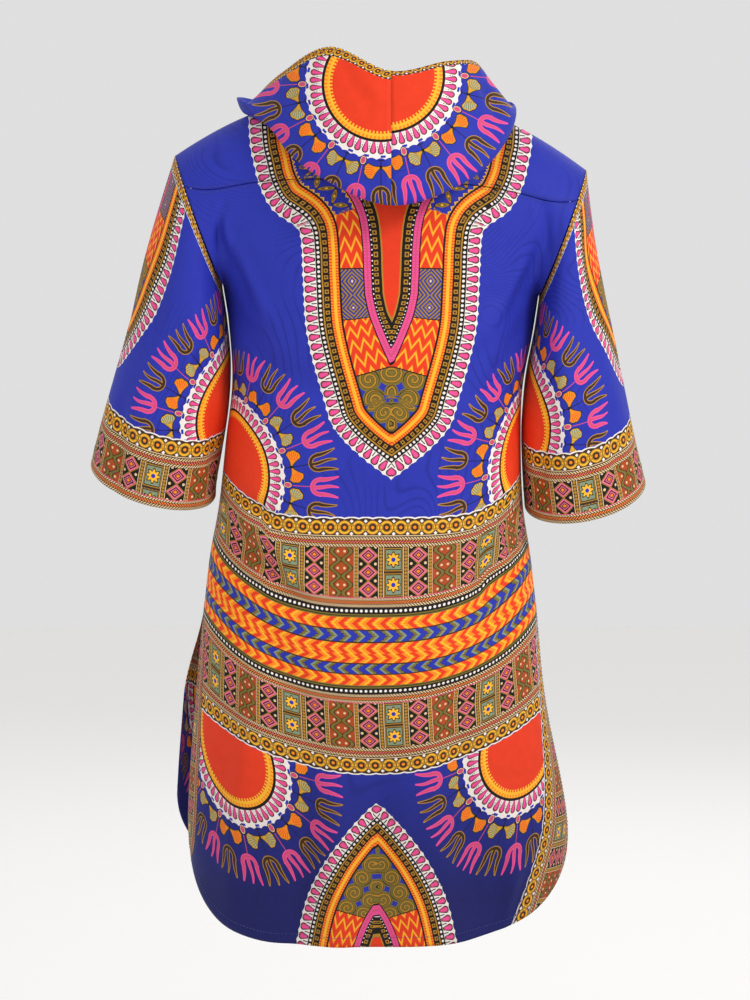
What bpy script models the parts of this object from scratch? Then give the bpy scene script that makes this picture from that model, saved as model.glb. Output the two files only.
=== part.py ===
"""Long hooded dashiki tunic, worn open and hollow on a general figure.

Metres, +Z up. The origin is the middle of the neck hole, where the shoulders carry the tunic.
The front faces -Y, and the wearer's left is +X. Every panel is an open surface, worked out from
the sizes below, that Solidify turns into a cloth wall.
"""

from collections import namedtuple
from math import asin, cos, exp, pi, radians, sin, sqrt

import bmesh
import bpy
from mathutils import Vector

# Driving sizes
WALL = 0.0014
SEAM_GAP = 0.0003
ARMHOLE_GAP = 0.0009
BACK, FRONT = 1, -1
LEFT, RIGHT = 1, -1

# Neck hole and shoulders
NECK_HALF_WIDTH = 0.085
NECK_DEPTH = {BACK: 0.060, FRONT: 0.100}
NECK_SIDE_Z = 0.012
NECK_DROP = {BACK: 0.005, FRONT: 0.087}
SHOULDER_HALF_WIDTH = 0.250
SHOULDER_TIP_Z = -0.060
NECK_SHARE = 6 / 14
SHOULDER_ROUND = 1.6
SHOULDER_ROLL = 0.035
ROLL_FADE = (0.22, 0.46)
YOKE_SEAM_Z = -0.084
# How steeply these curves turn: the neck hole's edge, the chest's sides, the pull of the armhole
# on the chest, and the rise of the yoke's seam at its ends
NECK_CURVE, CHEST_CURVE = 1.5, 1.5
ARMHOLE_PULL = 3
YOKE_END_RISE = 6

# Armhole ring: its middle, its half height as a leaning vector, and its half depth
ARMHOLE_MIDDLE = Vector((0.2215, 0.0, -0.138))
ARMHOLE_UP = Vector((0.0285, 0.0, 0.078))
ARMHOLE_HALF_DEPTH = 0.088
ARMPIT_Z = ARMHOLE_MIDDLE.z - ARMHOLE_UP.z

# Skirt
SLIT_TOP_Z = -0.600
HEM_Z = -1.003
SLIT_SPREAD = 0.012
SLIT_SPREAD_LENGTH = 0.12
SLIT_SPREAD_CURVE = 4
FRONT_SWING = 0.016
ROUNDNESS = 2.3

BodySection = namedtuple("BodySection", "z lean half_width back_depth front_depth")
BODY = (
    BodySection(ARMPIT_Z, 0.005, 0.193, 0.128, 0.120),
    BodySection(-0.262, 0.005, 0.186, 0.131, 0.124),
    BodySection(-0.330, 0.009, 0.178, 0.125, 0.124),
    BodySection(-0.400, 0.014, 0.181, 0.116, 0.122),
    BodySection(-0.480, 0.017, 0.187, 0.114, 0.122),
    BodySection(-0.540, 0.018, 0.197, 0.124, 0.125),
    BodySection(-0.600, 0.018, 0.204, 0.137, 0.130),
    BodySection(-0.714, 0.018, 0.215, 0.146, 0.138),
    BodySection(-0.864, 0.009, 0.234, 0.148, 0.146),
    BodySection(-0.940, 0.007, 0.231, 0.144, 0.148),
    BodySection(HEM_Z, 0.006, 0.228, 0.140, 0.150),
)

SleeveRing = namedtuple("SleeveRing", "along outer_x outer_z inner_x inner_z half_depth back_drop")
SLEEVE = (
    SleeveRing(0.00, 0.2500, -0.060, 0.1930, -0.216, 0.088, 0.000),
    SleeveRing(0.18, 0.2590, -0.112, 0.1900, -0.262, 0.089, 0.005),
    SleeveRing(0.38, 0.2730, -0.182, 0.1825, -0.314, 0.087, 0.011),
    SleeveRing(0.58, 0.2890, -0.262, 0.1810, -0.368, 0.084, 0.017),
    SleeveRing(0.79, 0.3090, -0.347, 0.1845, -0.420, 0.081, 0.022),
    SleeveRing(1.00, 0.3320, -0.440, 0.1890, -0.474, 0.078, 0.028),
)
SLEEVE_SWING = {LEFT: 0.010, RIGHT: -0.006}
SLEEVE_FLARE = {LEFT: 0.013, RIGHT: 0.004}

# Hood sections by their turn round the neck from the centre back, wearer's left first
HoodSection = namedtuple("HoodSection", "turn fold_out fold_z rim_out rim_z belly")
HOOD = (
    HoodSection(-180, 0.117, -0.068, 0.110, -0.046, 0.004),
    HoodSection(-150, 0.117, -0.038, 0.109, -0.012, 0.006),
    HoodSection(-120, 0.130, -0.006, 0.124, 0.016, 0.006),
    HoodSection(-90, 0.148, 0.003, 0.138, 0.021, 0.008),
    HoodSection(-60, 0.164, -0.030, 0.129, 0.060, 0.014),
    HoodSection(-30, 0.176, -0.083, 0.140, 0.060, 0.014),
    HoodSection(0, 0.178, -0.113, 0.142, 0.045, 0.014),
    HoodSection(30, 0.172, -0.080, 0.140, 0.072, 0.013),
    HoodSection(60, 0.162, -0.029, 0.142, 0.043, 0.012),
    HoodSection(90, 0.168, 0.001, 0.158, 0.016, 0.008),
    HoodSection(120, 0.138, -0.006, 0.130, 0.014, 0.006),
    HoodSection(150, 0.117, -0.038, 0.109, -0.012, 0.006),
    HoodSection(180, 0.117, -0.068, 0.110, -0.046, 0.004),
)
HOOD_SHIFT_X = -0.012
HOOD_SHIFT_START, HOOD_SHIFT_END = 0.15, 0.6
HOOD_STAND = 0.016
HOOD_LIFT = 0.0026
HOOD_FOLD_RADIUS = 0.013
HOOD_HALF_GAP = 1.5 * SEAM_GAP
# The hood is full size where it reaches this far out of the neck. Elsewhere its fold and its
# stand shrink towards these shares.
HOOD_FULL_REACH = 0.09
HOOD_LEAST_BEND, HOOD_LEAST_STAND = 0.25, 0.5

# The hood's section from the neck seam over the fold to the rim: shares of the way out and down
# to the fold, then out and up to the rim, with the stand, the fold's bend and the belly added
HoodPlace = namedtuple("HoodPlace", "out down rim_out rim_up stand bend_out bend_up belly")
HOOD_PROFILE = (
    HoodPlace(0.00, 0.00, 0.00, 0.0, 0, 0.0, 0.0, 0),
    HoodPlace(0.12, 0.00, 0.00, 0.0, 1, 0.0, 0.0, 0),
    HoodPlace(0.42, 0.16, 0.00, 0.0, 1, 0.0, 0.0, 0),
    HoodPlace(1.00, 1.00, 0.00, 0.0, 0, -1.6, 1.5, 0),
    HoodPlace(1.00, 1.00, 0.00, 0.0, 0, 0.0, 0.0, 0),
    HoodPlace(1.00, 1.00, 0.00, 0.0, 0, 0.8, 1.5, 0),
    HoodPlace(1.00, 1.00, 0.45, 0.5, 0, 0.0, 0.0, 1),
    HoodPlace(1.00, 1.00, 1.00, 1.0, 0, 0.0, 0.0, 0),
)

# Shirt-tail corners of the hem, and the seams of the two border strips beside the back's slits.
# A seam runs down from the slit's top (down = 0) to the hem (down = 1); across is 1 at the slit.
HemCorner = namedtuple("HemCorner", "rise power")
HEM_CORNER = {
    (BACK, LEFT): HemCorner(0.100, 6.0),
    (BACK, RIGHT): HemCorner(0.110, 3.2),
    (FRONT, LEFT): HemCorner(0.160, 2.8),
    (FRONT, RIGHT): HemCorner(0.150, 2.8),
}
StripSeam = namedtuple("StripSeam", "down left right")
STRIP_SEAM = (
    StripSeam(0.00, 0.985, 0.985),
    StripSeam(0.12, 0.840, 0.860),
    StripSeam(0.30, 0.800, 0.830),
    StripSeam(0.55, 0.770, 0.720),
    StripSeam(0.80, 0.790, 0.590),
    StripSeam(1.00, 0.930, 0.470),
)
ARC_OF_ACROSS = 0.27

# Largest folds of the body: middle, half reach, lean of the fold's line, depth (out is positive).
# They fade out at the side seams, more steeply the higher FOLD_END_FADE is.
FOLD_END_FADE = 8
Fold = namedtuple("Fold", "face across z half_across half_z lean depth")
FOLDS = (
    Fold(BACK, 0.62, -0.520, 0.10, 0.050, 0.9, -0.007),
    Fold(BACK, -0.60, -0.540, 0.10, 0.060, -1.0, -0.008),
    Fold(BACK, -0.72, -0.460, 0.09, 0.050, -0.8, 0.006),
    Fold(BACK, 0.05, -0.470, 0.45, 0.040, 0.0, -0.006),
    Fold(BACK, -0.42, -0.900, 0.09, 0.150, -0.1, -0.009),
    Fold(BACK, 0.30, -0.880, 0.12, 0.160, 0.1, 0.006),
    Fold(BACK, -0.15, -0.840, 0.11, 0.170, 0.0, 0.005),
    Fold(FRONT, 0.50, -0.540, 0.12, 0.070, 0.8, -0.007),
    Fold(FRONT, -0.48, -0.500, 0.12, 0.070, -0.8, -0.007),
    Fold(FRONT, 0.00, -0.820, 0.12, 0.200, 0.0, -0.008),
    Fold(FRONT, 0.42, -0.860, 0.12, 0.180, 0.1, 0.007),
    Fold(FRONT, -0.45, -0.850, 0.12, 0.180, -0.1, 0.007),
)

# Grid steps of each panel. The sleeve's columns are as many as the rows of the armhole's two
# sides, so that the two meshes meet point to point.
BODY_COLUMNS = 28
SKIRT_ROWS, WAIST_ROWS = 8, 8
ARMHOLE_ROWS, YOKE_ROWS = 12, 4
SLEEVE_COLUMNS, SLEEVE_ROWS = 2 * ARMHOLE_ROWS, 10
HOOD_COLUMNS, HOOD_ROWS = 18, 14
STRIP_COLUMNS = 4
BACK_TOP_ROWS = ARMHOLE_ROWS - YOKE_ROWS
YOKE_SEAM_SHARE = BACK_TOP_ROWS / ARMHOLE_ROWS


def blend(low, high, share):
    """The value a share of the way from low to high."""
    return low + (high - low) * share


def step(value, start, end):
    """0 before start, 1 after end, and smooth between them."""
    share = min(1.0, max(0.0, (value - start) / (end - start)))
    return share * share * (3 - 2 * share)


def read_table(rows, name, at):
    """A column of a table at a place along its first column, on a smooth curve."""
    keys = [row[0] for row in rows]
    if keys[0] > keys[-1]:
        rows, keys = rows[::-1], keys[::-1]
    at = min(keys[-1], max(keys[0], at))
    index = min(len(keys) - 2, sum(key <= at for key in keys[1:]))
    values = [getattr(row, name) for row in rows]

    def slope(place):
        before, after = max(0, place - 1), min(len(keys) - 1, place + 1)
        return (values[after] - values[before]) / (keys[after] - keys[before])

    span = keys[index + 1] - keys[index]
    share = (at - keys[index]) / span
    square, cube = share ** 2, share ** 3
    return (
        (2 * cube - 3 * square + 1) * values[index]
        + (cube - 2 * square + share) * span * slope(index)
        + (3 * square - 2 * cube) * values[index + 1]
        + (cube - square) * span * slope(index + 1)
    )


def fold_depth(face, across, z):
    """How far the folds move the cloth out at one place of the body."""
    moved = 0.0
    for fold in FOLDS:
        if fold.face == face:
            along = (z - fold.z) / fold.half_z
            aside = (across - fold.across) / fold.half_across - fold.lean * along
            moved += fold.depth * exp(-along * along - aside * aside)
    return moved


def body_point(face, across, z):
    """A point of the body below the armpit. Across runs from -1 to 1 between the side seams."""
    name = "back_depth" if face == BACK else "front_depth"
    angle = across * pi / 2
    side = abs(sin(angle)) ** (2 / ROUNDNESS) * (1 if across > 0 else -1)
    middle = abs(cos(angle)) ** (2 / ROUNDNESS)
    width = read_table(BODY, "half_width", z)
    depth = read_table(BODY, name, z)
    open_share = step(-z, -SLIT_TOP_Z, -SLIT_TOP_Z + SLIT_SPREAD_LENGTH)
    swing = FRONT_SWING * open_share if face == FRONT else 0.0
    spread = SLIT_SPREAD * open_share * abs(across) ** SLIT_SPREAD_CURVE
    out = Vector((side / width, middle / depth, 0)).normalized()
    push = fold_depth(face, across, z) * (1 - abs(across) ** FOLD_END_FADE)
    return rolled(Vector((
        read_table(BODY, "lean", z) + width * side + swing + out.x * push,
        face * (depth * middle + spread + SEAM_GAP / 2 + out.y * push),
        z,
    )), 1 - step(-z, *ROLL_FADE))


def hem_height(face, across):
    """The hem's height at a place across the panel, with its rounded shirt-tail corners."""
    corner = HEM_CORNER[face, LEFT if across > 0 else RIGHT]
    side = min(1.0, abs(sin(across * pi / 2)) ** (2 / ROUNDNESS))
    return HEM_Z + corner.rise * (1 - sqrt(1 - side ** corner.power))


def skirt_point(face, across, down):
    """A point of the skirt, from the slit's top (down = 0) to the hem (down = 1)."""
    return body_point(face, across, blend(SLIT_TOP_Z, hem_height(face, across), down))


def rolled(point, share=1.0):
    """The point with the shoulders' tilt, which lifts the wearer's left side."""
    return point + Vector((0, 0, SHOULDER_ROLL * point.x * share))


def armhole_point(hand, turn):
    """A point of the armhole. Turn runs from 0 at the shoulder, over the back, to pi below."""
    place = ARMHOLE_MIDDLE + ARMHOLE_UP * cos(turn)
    lean = read_table(BODY, "lean", place.z)
    return rolled(Vector((hand * place.x + lean, ARMHOLE_HALF_DEPTH * sin(turn), place.z)))


def top_point(face, across):
    """The panel's top edge: the shoulder's ridge, and the neck hole's edge between them."""
    hand = 1 if across > 0 else -1
    if abs(across) < NECK_SHARE:
        reach = sin(abs(across) / NECK_SHARE * pi / 2)
        inward = sqrt(max(0.0, 1 - reach * reach))
        drop = NECK_DROP[face] * inward ** NECK_CURVE
        return Vector((hand * NECK_HALF_WIDTH * reach, face * NECK_DEPTH[face] * inward,
                       NECK_SIDE_Z - drop))
    share = (abs(across) - NECK_SHARE) / (1 - NECK_SHARE)
    width = blend(NECK_HALF_WIDTH, SHOULDER_HALF_WIDTH, share)
    return Vector((hand * width, 0, blend(NECK_SIDE_Z, SHOULDER_TIP_Z, share ** SHOULDER_ROUND)))


def chest_base(face, across, up):
    """A rounded sheet from the armpit's level (up = 0) to the shoulder's ridge (up = 1)."""
    low = body_point(face, across, ARMPIT_Z)
    high = top_point(face, across)
    high.x += read_table(BODY, "lean", high.z)
    high.y += face * SEAM_GAP / 2
    high = rolled(high)
    return Vector((
        blend(low.x, high.x, up ** CHEST_CURVE),
        blend(low.y, high.y, 1 - cos(up * pi / 2)),
        blend(low.z, high.z, sin(up * pi / 2)),
    ))


def chest_point(face, across, up):
    """A point above the armpit, on the rounded sheet drawn out to the armhole at its sides."""
    hand = LEFT if across > 0 else RIGHT
    seam = armhole_point(hand, pi * (1 - up))
    seam.y = face * (seam.y + SEAM_GAP / 2)
    drawn = seam - chest_base(face, hand, up)
    aside = abs(across) ** ARMHOLE_PULL
    around = 1 - abs(cos(across * pi / 2)) ** (2 / ROUNDNESS)
    return chest_base(face, across, up) + Vector((
        drawn.x * aside, drawn.y * around, drawn.z * aside))


def yoke_seam(across):
    """How far up the back, from the armpit to the ridge, the yoke's seam lies."""
    level, side = (
        asin((YOKE_SEAM_Z - ARMPIT_Z) / (top_point(BACK, place).z - ARMPIT_Z)) / (pi / 2)
        for place in (across, 1)
    )
    return level + (YOKE_SEAM_SHARE - side) * abs(across) ** YOKE_END_RISE


def strip_edge(hand, down):
    """Where the strip's seam lies across the skirt."""
    return read_table(STRIP_SEAM, "left" if hand == LEFT else "right", down)


def back_point(across, rise):
    """The back panel from the hem (rise = 0) to the yoke's seam (rise = 1), in grid shares."""
    row = round(rise * (SKIRT_ROWS + WAIST_ROWS + BACK_TOP_ROWS))
    if row <= SKIRT_ROWS:
        down = 1 - row / SKIRT_ROWS
        limit = strip_edge(LEFT if across > 0 else RIGHT, down) - SEAM_GAP / ARC_OF_ACROSS
        return skirt_point(BACK, across * limit, down)
    row -= SKIRT_ROWS
    if row < WAIST_ROWS:
        return body_point(BACK, across, blend(SLIT_TOP_Z, ARMPIT_Z, row / WAIST_ROWS))
    up = (row - WAIST_ROWS) / BACK_TOP_ROWS
    return chest_point(BACK, across, up * yoke_seam(across))


def yoke_point(across, rise):
    """The yoke from its seam to the shoulder's ridge and the neck hole."""
    start = yoke_seam(across) + SEAM_GAP / ARMHOLE_UP.z
    return chest_point(BACK, across, blend(start, 1, rise))


def front_point(across, rise):
    """The front panel from the hem (rise = 0) to the ridge and the neck hole (rise = 1)."""
    row = round(rise * (SKIRT_ROWS + WAIST_ROWS + ARMHOLE_ROWS))
    if row < SKIRT_ROWS:
        return skirt_point(FRONT, across, 1 - row / SKIRT_ROWS)
    row -= SKIRT_ROWS
    if row < WAIST_ROWS:
        return body_point(FRONT, across, blend(SLIT_TOP_Z, ARMPIT_Z, row / WAIST_ROWS))
    return chest_point(FRONT, across, (row - WAIST_ROWS) / ARMHOLE_ROWS)


def strip_point(hand, aside, rise):
    """A border strip beside the back's slit, from its seam (aside = 0) to the slit's edge."""
    down = 1 - rise
    start = strip_edge(hand, down) + SEAM_GAP / ARC_OF_ACROSS
    return skirt_point(BACK, hand * blend(start, 1, aside), down)


def sleeve_point(hand, around, along):
    """A sleeve from the armhole to the cuff. Around is 0 at the outer edge and 0.5 inside."""
    turn = around * 2 * pi
    outer = Vector((read_table(SLEEVE, "outer_x", along), 0, read_table(SLEEVE, "outer_z", along)))
    inner = Vector((read_table(SLEEVE, "inner_x", along), 0, read_table(SLEEVE, "inner_z", along)))
    middle, reach = (outer + inner) / 2, (outer - inner) / 2
    point = middle + reach * cos(turn)
    point.y = read_table(SLEEVE, "half_depth", along) * sin(turn)
    point.z -= read_table(SLEEVE, "back_drop", along) * sin(turn)
    inside = (1 - cos(turn)) / 2
    point.x += (SLEEVE_SWING[hand] * sin(along * pi) + SLEEVE_FLARE[hand] * along) * (1 - inside)
    point.x += ARMHOLE_GAP + (WALL + SEAM_GAP) * inside
    point.x = hand * point.x + read_table(BODY, "lean", point.z)
    return rolled(point)


def hood_point(turn, along):
    """The hood, pushed back: from the neck seam down to its fold and up to its rim."""
    angle = radians(turn)
    face = BACK if cos(angle) > 0 else FRONT
    neck_out = 1 / sqrt((sin(angle) / NECK_HALF_WIDTH) ** 2 + (cos(angle) / NECK_DEPTH[face]) ** 2)
    inward = sqrt(max(0.0, 1 - (neck_out * sin(angle) / NECK_HALF_WIDTH) ** 2))
    neck_z = NECK_SIDE_Z - NECK_DROP[face] * inward ** NECK_CURVE + HOOD_LIFT
    fold_out, fold_z, rim_out, rim_z, belly = (
        read_table(HOOD, name, turn) for name in HoodSection._fields[1:]
    )
    size = step(fold_out - neck_out, 0.0, HOOD_FULL_REACH)
    bend = HOOD_FOLD_RADIUS * blend(HOOD_LEAST_BEND, 1.0, size)
    stand = HOOD_STAND * blend(HOOD_LEAST_STAND, 1.0, size)
    curve = [
        Vector((
            blend(neck_out, fold_out, place.out) + (rim_out - fold_out) * place.rim_out
            + bend * place.bend_out + belly * place.belly,
            blend(neck_z, fold_z, place.down) + (rim_z - fold_z) * place.rim_up
            + bend * place.bend_up + stand * place.stand,
        ))
        for place in HOOD_PROFILE
    ]
    spot = along * (len(curve) - 1)
    index = min(len(curve) - 2, int(spot))
    before = curve[max(0, index - 1)]
    start, end = curve[index], curve[index + 1]
    after = curve[min(len(curve) - 1, index + 2)]
    share = spot - index
    out, height = 0.5 * (
        2 * start + (end - before) * share
        + (2 * before - 5 * start + 4 * end - after) * share ** 2
        + (3 * start - before - 3 * end + after) * share ** 3
    )
    moved = step(along, HOOD_SHIFT_START, HOOD_SHIFT_END)
    shift = HOOD_SHIFT_X * max(0.0, cos(angle)) * moved
    lean = read_table(BODY, "lean", height)
    return rolled(Vector((out * sin(angle) + shift + lean, out * cos(angle), height)))


def hood_half_point(hand, aside, along):
    """Half of the hood, from the centre back seam (aside = 0) to the front of the neck."""
    point = hood_point(hand * blend(0.0, 180.0, aside), along)
    return point + Vector((hand * HOOD_HALF_GAP, 0, 0))


def cloth(name, columns, rows, place, colour, closed=False):
    """One panel: a flat grid whose points are moved by place, then given its thickness."""
    mesh = bpy.data.meshes.new(name)
    panel = bmesh.new()
    bmesh.ops.create_grid(panel, x_segments=columns, y_segments=rows, size=1.0)
    for vert in panel.verts:
        vert.co = place((vert.co.x + 1) / 2, (vert.co.y + 1) / 2)
    if closed:
        bmesh.ops.remove_doubles(panel, verts=panel.verts, dist=0.00001)
    bmesh.ops.recalc_face_normals(panel, faces=panel.faces)
    panel.to_mesh(mesh)
    panel.free()
    mesh.shade_smooth()
    mesh.materials.append(cotton(name, colour))
    piece = bpy.data.objects.new(name, mesh)
    garment.objects.link(piece)
    wall = piece.modifiers.new("Wall", "SOLIDIFY")
    wall.thickness = WALL
    wall.offset = 0.0
    return piece


def cotton(name, colour):
    """Printed cotton in the piece's main colour."""
    material = bpy.data.materials.new(f"{name}_cotton")
    material.use_nodes = True
    shader = material.node_tree.nodes["Principled BSDF"]
    shader.inputs["Base Color"].default_value = (*colour, 1.0)
    shader.inputs["Roughness"].default_value = 0.6
    shader.inputs["Metallic"].default_value = 0.0
    return material


ROYAL_BLUE = (0.020, 0.020, 0.400)
DEEP_BLUE = (0.015, 0.015, 0.300)
BORDER_GOLD = (0.420, 0.200, 0.040)
RED_ORANGE = (0.700, 0.070, 0.015)
HANDS = ((LEFT, "left"), (RIGHT, "right"))

for old in list(bpy.data.objects):
    bpy.data.objects.remove(old)
garment = bpy.data.collections.new("dashiki_shirt")
bpy.context.scene.collection.children.link(garment)

cloth("back", BODY_COLUMNS, SKIRT_ROWS + WAIST_ROWS + BACK_TOP_ROWS,
      lambda aside, rise: back_point(aside * 2 - 1, rise), ROYAL_BLUE)
cloth("back_yoke", BODY_COLUMNS, YOKE_ROWS,
      lambda aside, rise: yoke_point(aside * 2 - 1, rise), ROYAL_BLUE)
cloth("front", BODY_COLUMNS, SKIRT_ROWS + WAIST_ROWS + ARMHOLE_ROWS,
      lambda aside, rise: front_point(aside * 2 - 1, rise), DEEP_BLUE)
for hand, side in HANDS:
    cloth(f"sleeve_{side}", SLEEVE_COLUMNS, SLEEVE_ROWS,
          lambda around, along, hand=hand: sleeve_point(hand, around, along),
          ROYAL_BLUE, closed=True)
    cloth(f"hood_{side}", HOOD_COLUMNS, HOOD_ROWS,
          lambda aside, along, hand=hand: hood_half_point(hand, aside, along), RED_ORANGE)
    cloth(f"strip_{side}", STRIP_COLUMNS, SKIRT_ROWS,
          lambda aside, rise, hand=hand: strip_point(hand, aside, rise), BORDER_GOLD)
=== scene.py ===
"""Looks of a long hooded dashiki tunic: thin printed cotton worn open over the solids' form.

Metres, +Z up. The tunic's back faces +Y, and the wearer's left is +X. Each panel is one fine
grid laid on the form that its solid has, with finer creases, its print and its sewing.
"""

import ast
import logging
import math
from collections.abc import Callable
from dataclasses import dataclass, field
from enum import Enum

import bmesh
import bpy
import numpy as np
from mathutils import Matrix, Vector


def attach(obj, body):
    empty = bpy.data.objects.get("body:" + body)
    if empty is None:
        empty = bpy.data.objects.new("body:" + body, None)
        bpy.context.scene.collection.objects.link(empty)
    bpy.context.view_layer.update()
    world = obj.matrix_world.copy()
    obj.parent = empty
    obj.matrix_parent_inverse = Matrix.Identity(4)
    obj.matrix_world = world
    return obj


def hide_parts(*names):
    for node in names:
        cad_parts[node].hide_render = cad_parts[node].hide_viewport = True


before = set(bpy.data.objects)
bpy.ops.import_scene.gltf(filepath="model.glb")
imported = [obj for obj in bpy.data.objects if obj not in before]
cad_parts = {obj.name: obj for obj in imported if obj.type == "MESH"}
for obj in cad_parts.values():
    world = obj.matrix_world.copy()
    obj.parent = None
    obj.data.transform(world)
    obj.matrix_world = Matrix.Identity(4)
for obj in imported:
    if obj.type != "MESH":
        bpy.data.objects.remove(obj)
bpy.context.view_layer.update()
Numbers = np.ndarray
Source = float | bpy.types.NodeSocket


class Side(Enum):
    """The two faces of the body, by the sign of their Y."""

    BACK = 1
    FRONT = -1


class Hand(Enum):
    """The wearer's hands, by the sign of their X."""

    LEFT = 1
    RIGHT = -1


class Ink(Enum):
    """The dyes of the print, as sRGB hex colours."""

    BLUE = "2832A4"
    DEEP_BLUE = "181A58"
    LINE_BLUE = "1C2382"
    BLACK = "19120F"
    WHITE = "EDE3DC"
    RED = "E23A1A"
    ORANGE = "F5871A"
    YELLOW = "F7B52E"
    GOLD = "B07F26"
    OLIVE = "75672A"
    PINK = "EE4C98"
    SALMON = "E86F8C"
    ROSE = "CF4C72"
    CREAM = "DFC296"
    RUST = "A8461C"
    BROWN = "3E2817"
    GREY_GREEN = "7F8E72"

    def linear(self) -> tuple[float, float, float, float]:
        """The colour in linear light."""
        return linear_colour(self.value)


def linear_colour(code: str) -> tuple[float, float, float, float]:
    """Turns an sRGB hex colour to linear.

    Args:
        code: six hex digits.

    Returns:
        Red, green, blue and an alpha of 1.
    """
    parts = [int(code[place:place + 2], 16) / 255 for place in (0, 2, 4)]
    red, green, blue = (
        part / 12.92 if part <= 0.04045 else ((part + 0.055) / 1.055) ** 2.4 for part in parts
    )
    return red, green, blue, 1.0


def blend(low: Numbers, high: Numbers, share: Numbers) -> Numbers:
    """The value a share of the way from low to high."""
    return low + (high - low) * share


def step(value: Numbers, start: float, end: float) -> Numbers:
    """0 before start, 1 after end, and smooth between them."""
    share = np.clip((value - start) / (end - start), 0.0, 1.0)
    return share * share * (3 - 2 * share)


def hump(value: Numbers) -> Numbers:
    """A soft bell, 1 at 0 and nearly 0 beyond 2."""
    return np.exp(-value * value)


@dataclass(frozen=True)
class Table:
    """Sizes in named columns, read on smooth curves along the first column."""

    names: str
    rows: tuple[tuple[float, ...], ...]

    def read(self, name: str, at: Numbers) -> Numbers:
        """Reads one column.

        Args:
            name: the column.
            at: places along the first column.

        Returns:
            The column's value at each place.
        """
        rows = np.array(sorted(self.rows))
        keys, values = rows[:, 0], rows[:, self.names.split().index(name)]
        order = np.arange(len(keys))
        before, after = np.maximum(0, order - 1), np.minimum(len(keys) - 1, order + 1)
        slopes = (values[after] - values[before]) / (keys[after] - keys[before])
        at = np.clip(at, keys[0], keys[-1])
        index = np.clip(np.searchsorted(keys, at, side="right") - 1, 0, len(keys) - 2)
        span = keys[index + 1] - keys[index]
        share = (at - keys[index]) / span
        square, cube = share ** 2, share ** 3
        return (
            (2 * cube - 3 * square + 1) * values[index]
            + (cube - 2 * square + share) * span * slopes[index]
            + (3 * square - 2 * cube) * values[index + 1]
            + (cube - square) * span * slopes[index + 1]
        )


def points_of(x: Numbers, y: Numbers, z: Numbers) -> Numbers:
    """Stacks coordinates into rows of points."""
    return np.stack(np.broadcast_arrays(x, y, z), axis=-1).astype(float)


@dataclass(frozen=True)
class Fold:
    """A large fold of the body: middle, half reach, lean of its line, and depth outwards."""

    side: Side
    across: float
    z: float
    half_across: float
    half_z: float
    lean: float
    depth: float

    def depth_at(self, across: Numbers, z: Numbers) -> Numbers:
        """How far the fold moves the cloth out at each place."""
        along = (z - self.z) / self.half_z
        aside = (across - self.across) / self.half_across - self.lean * along
        return self.depth * np.exp(-along * along - aside * aside)


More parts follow.
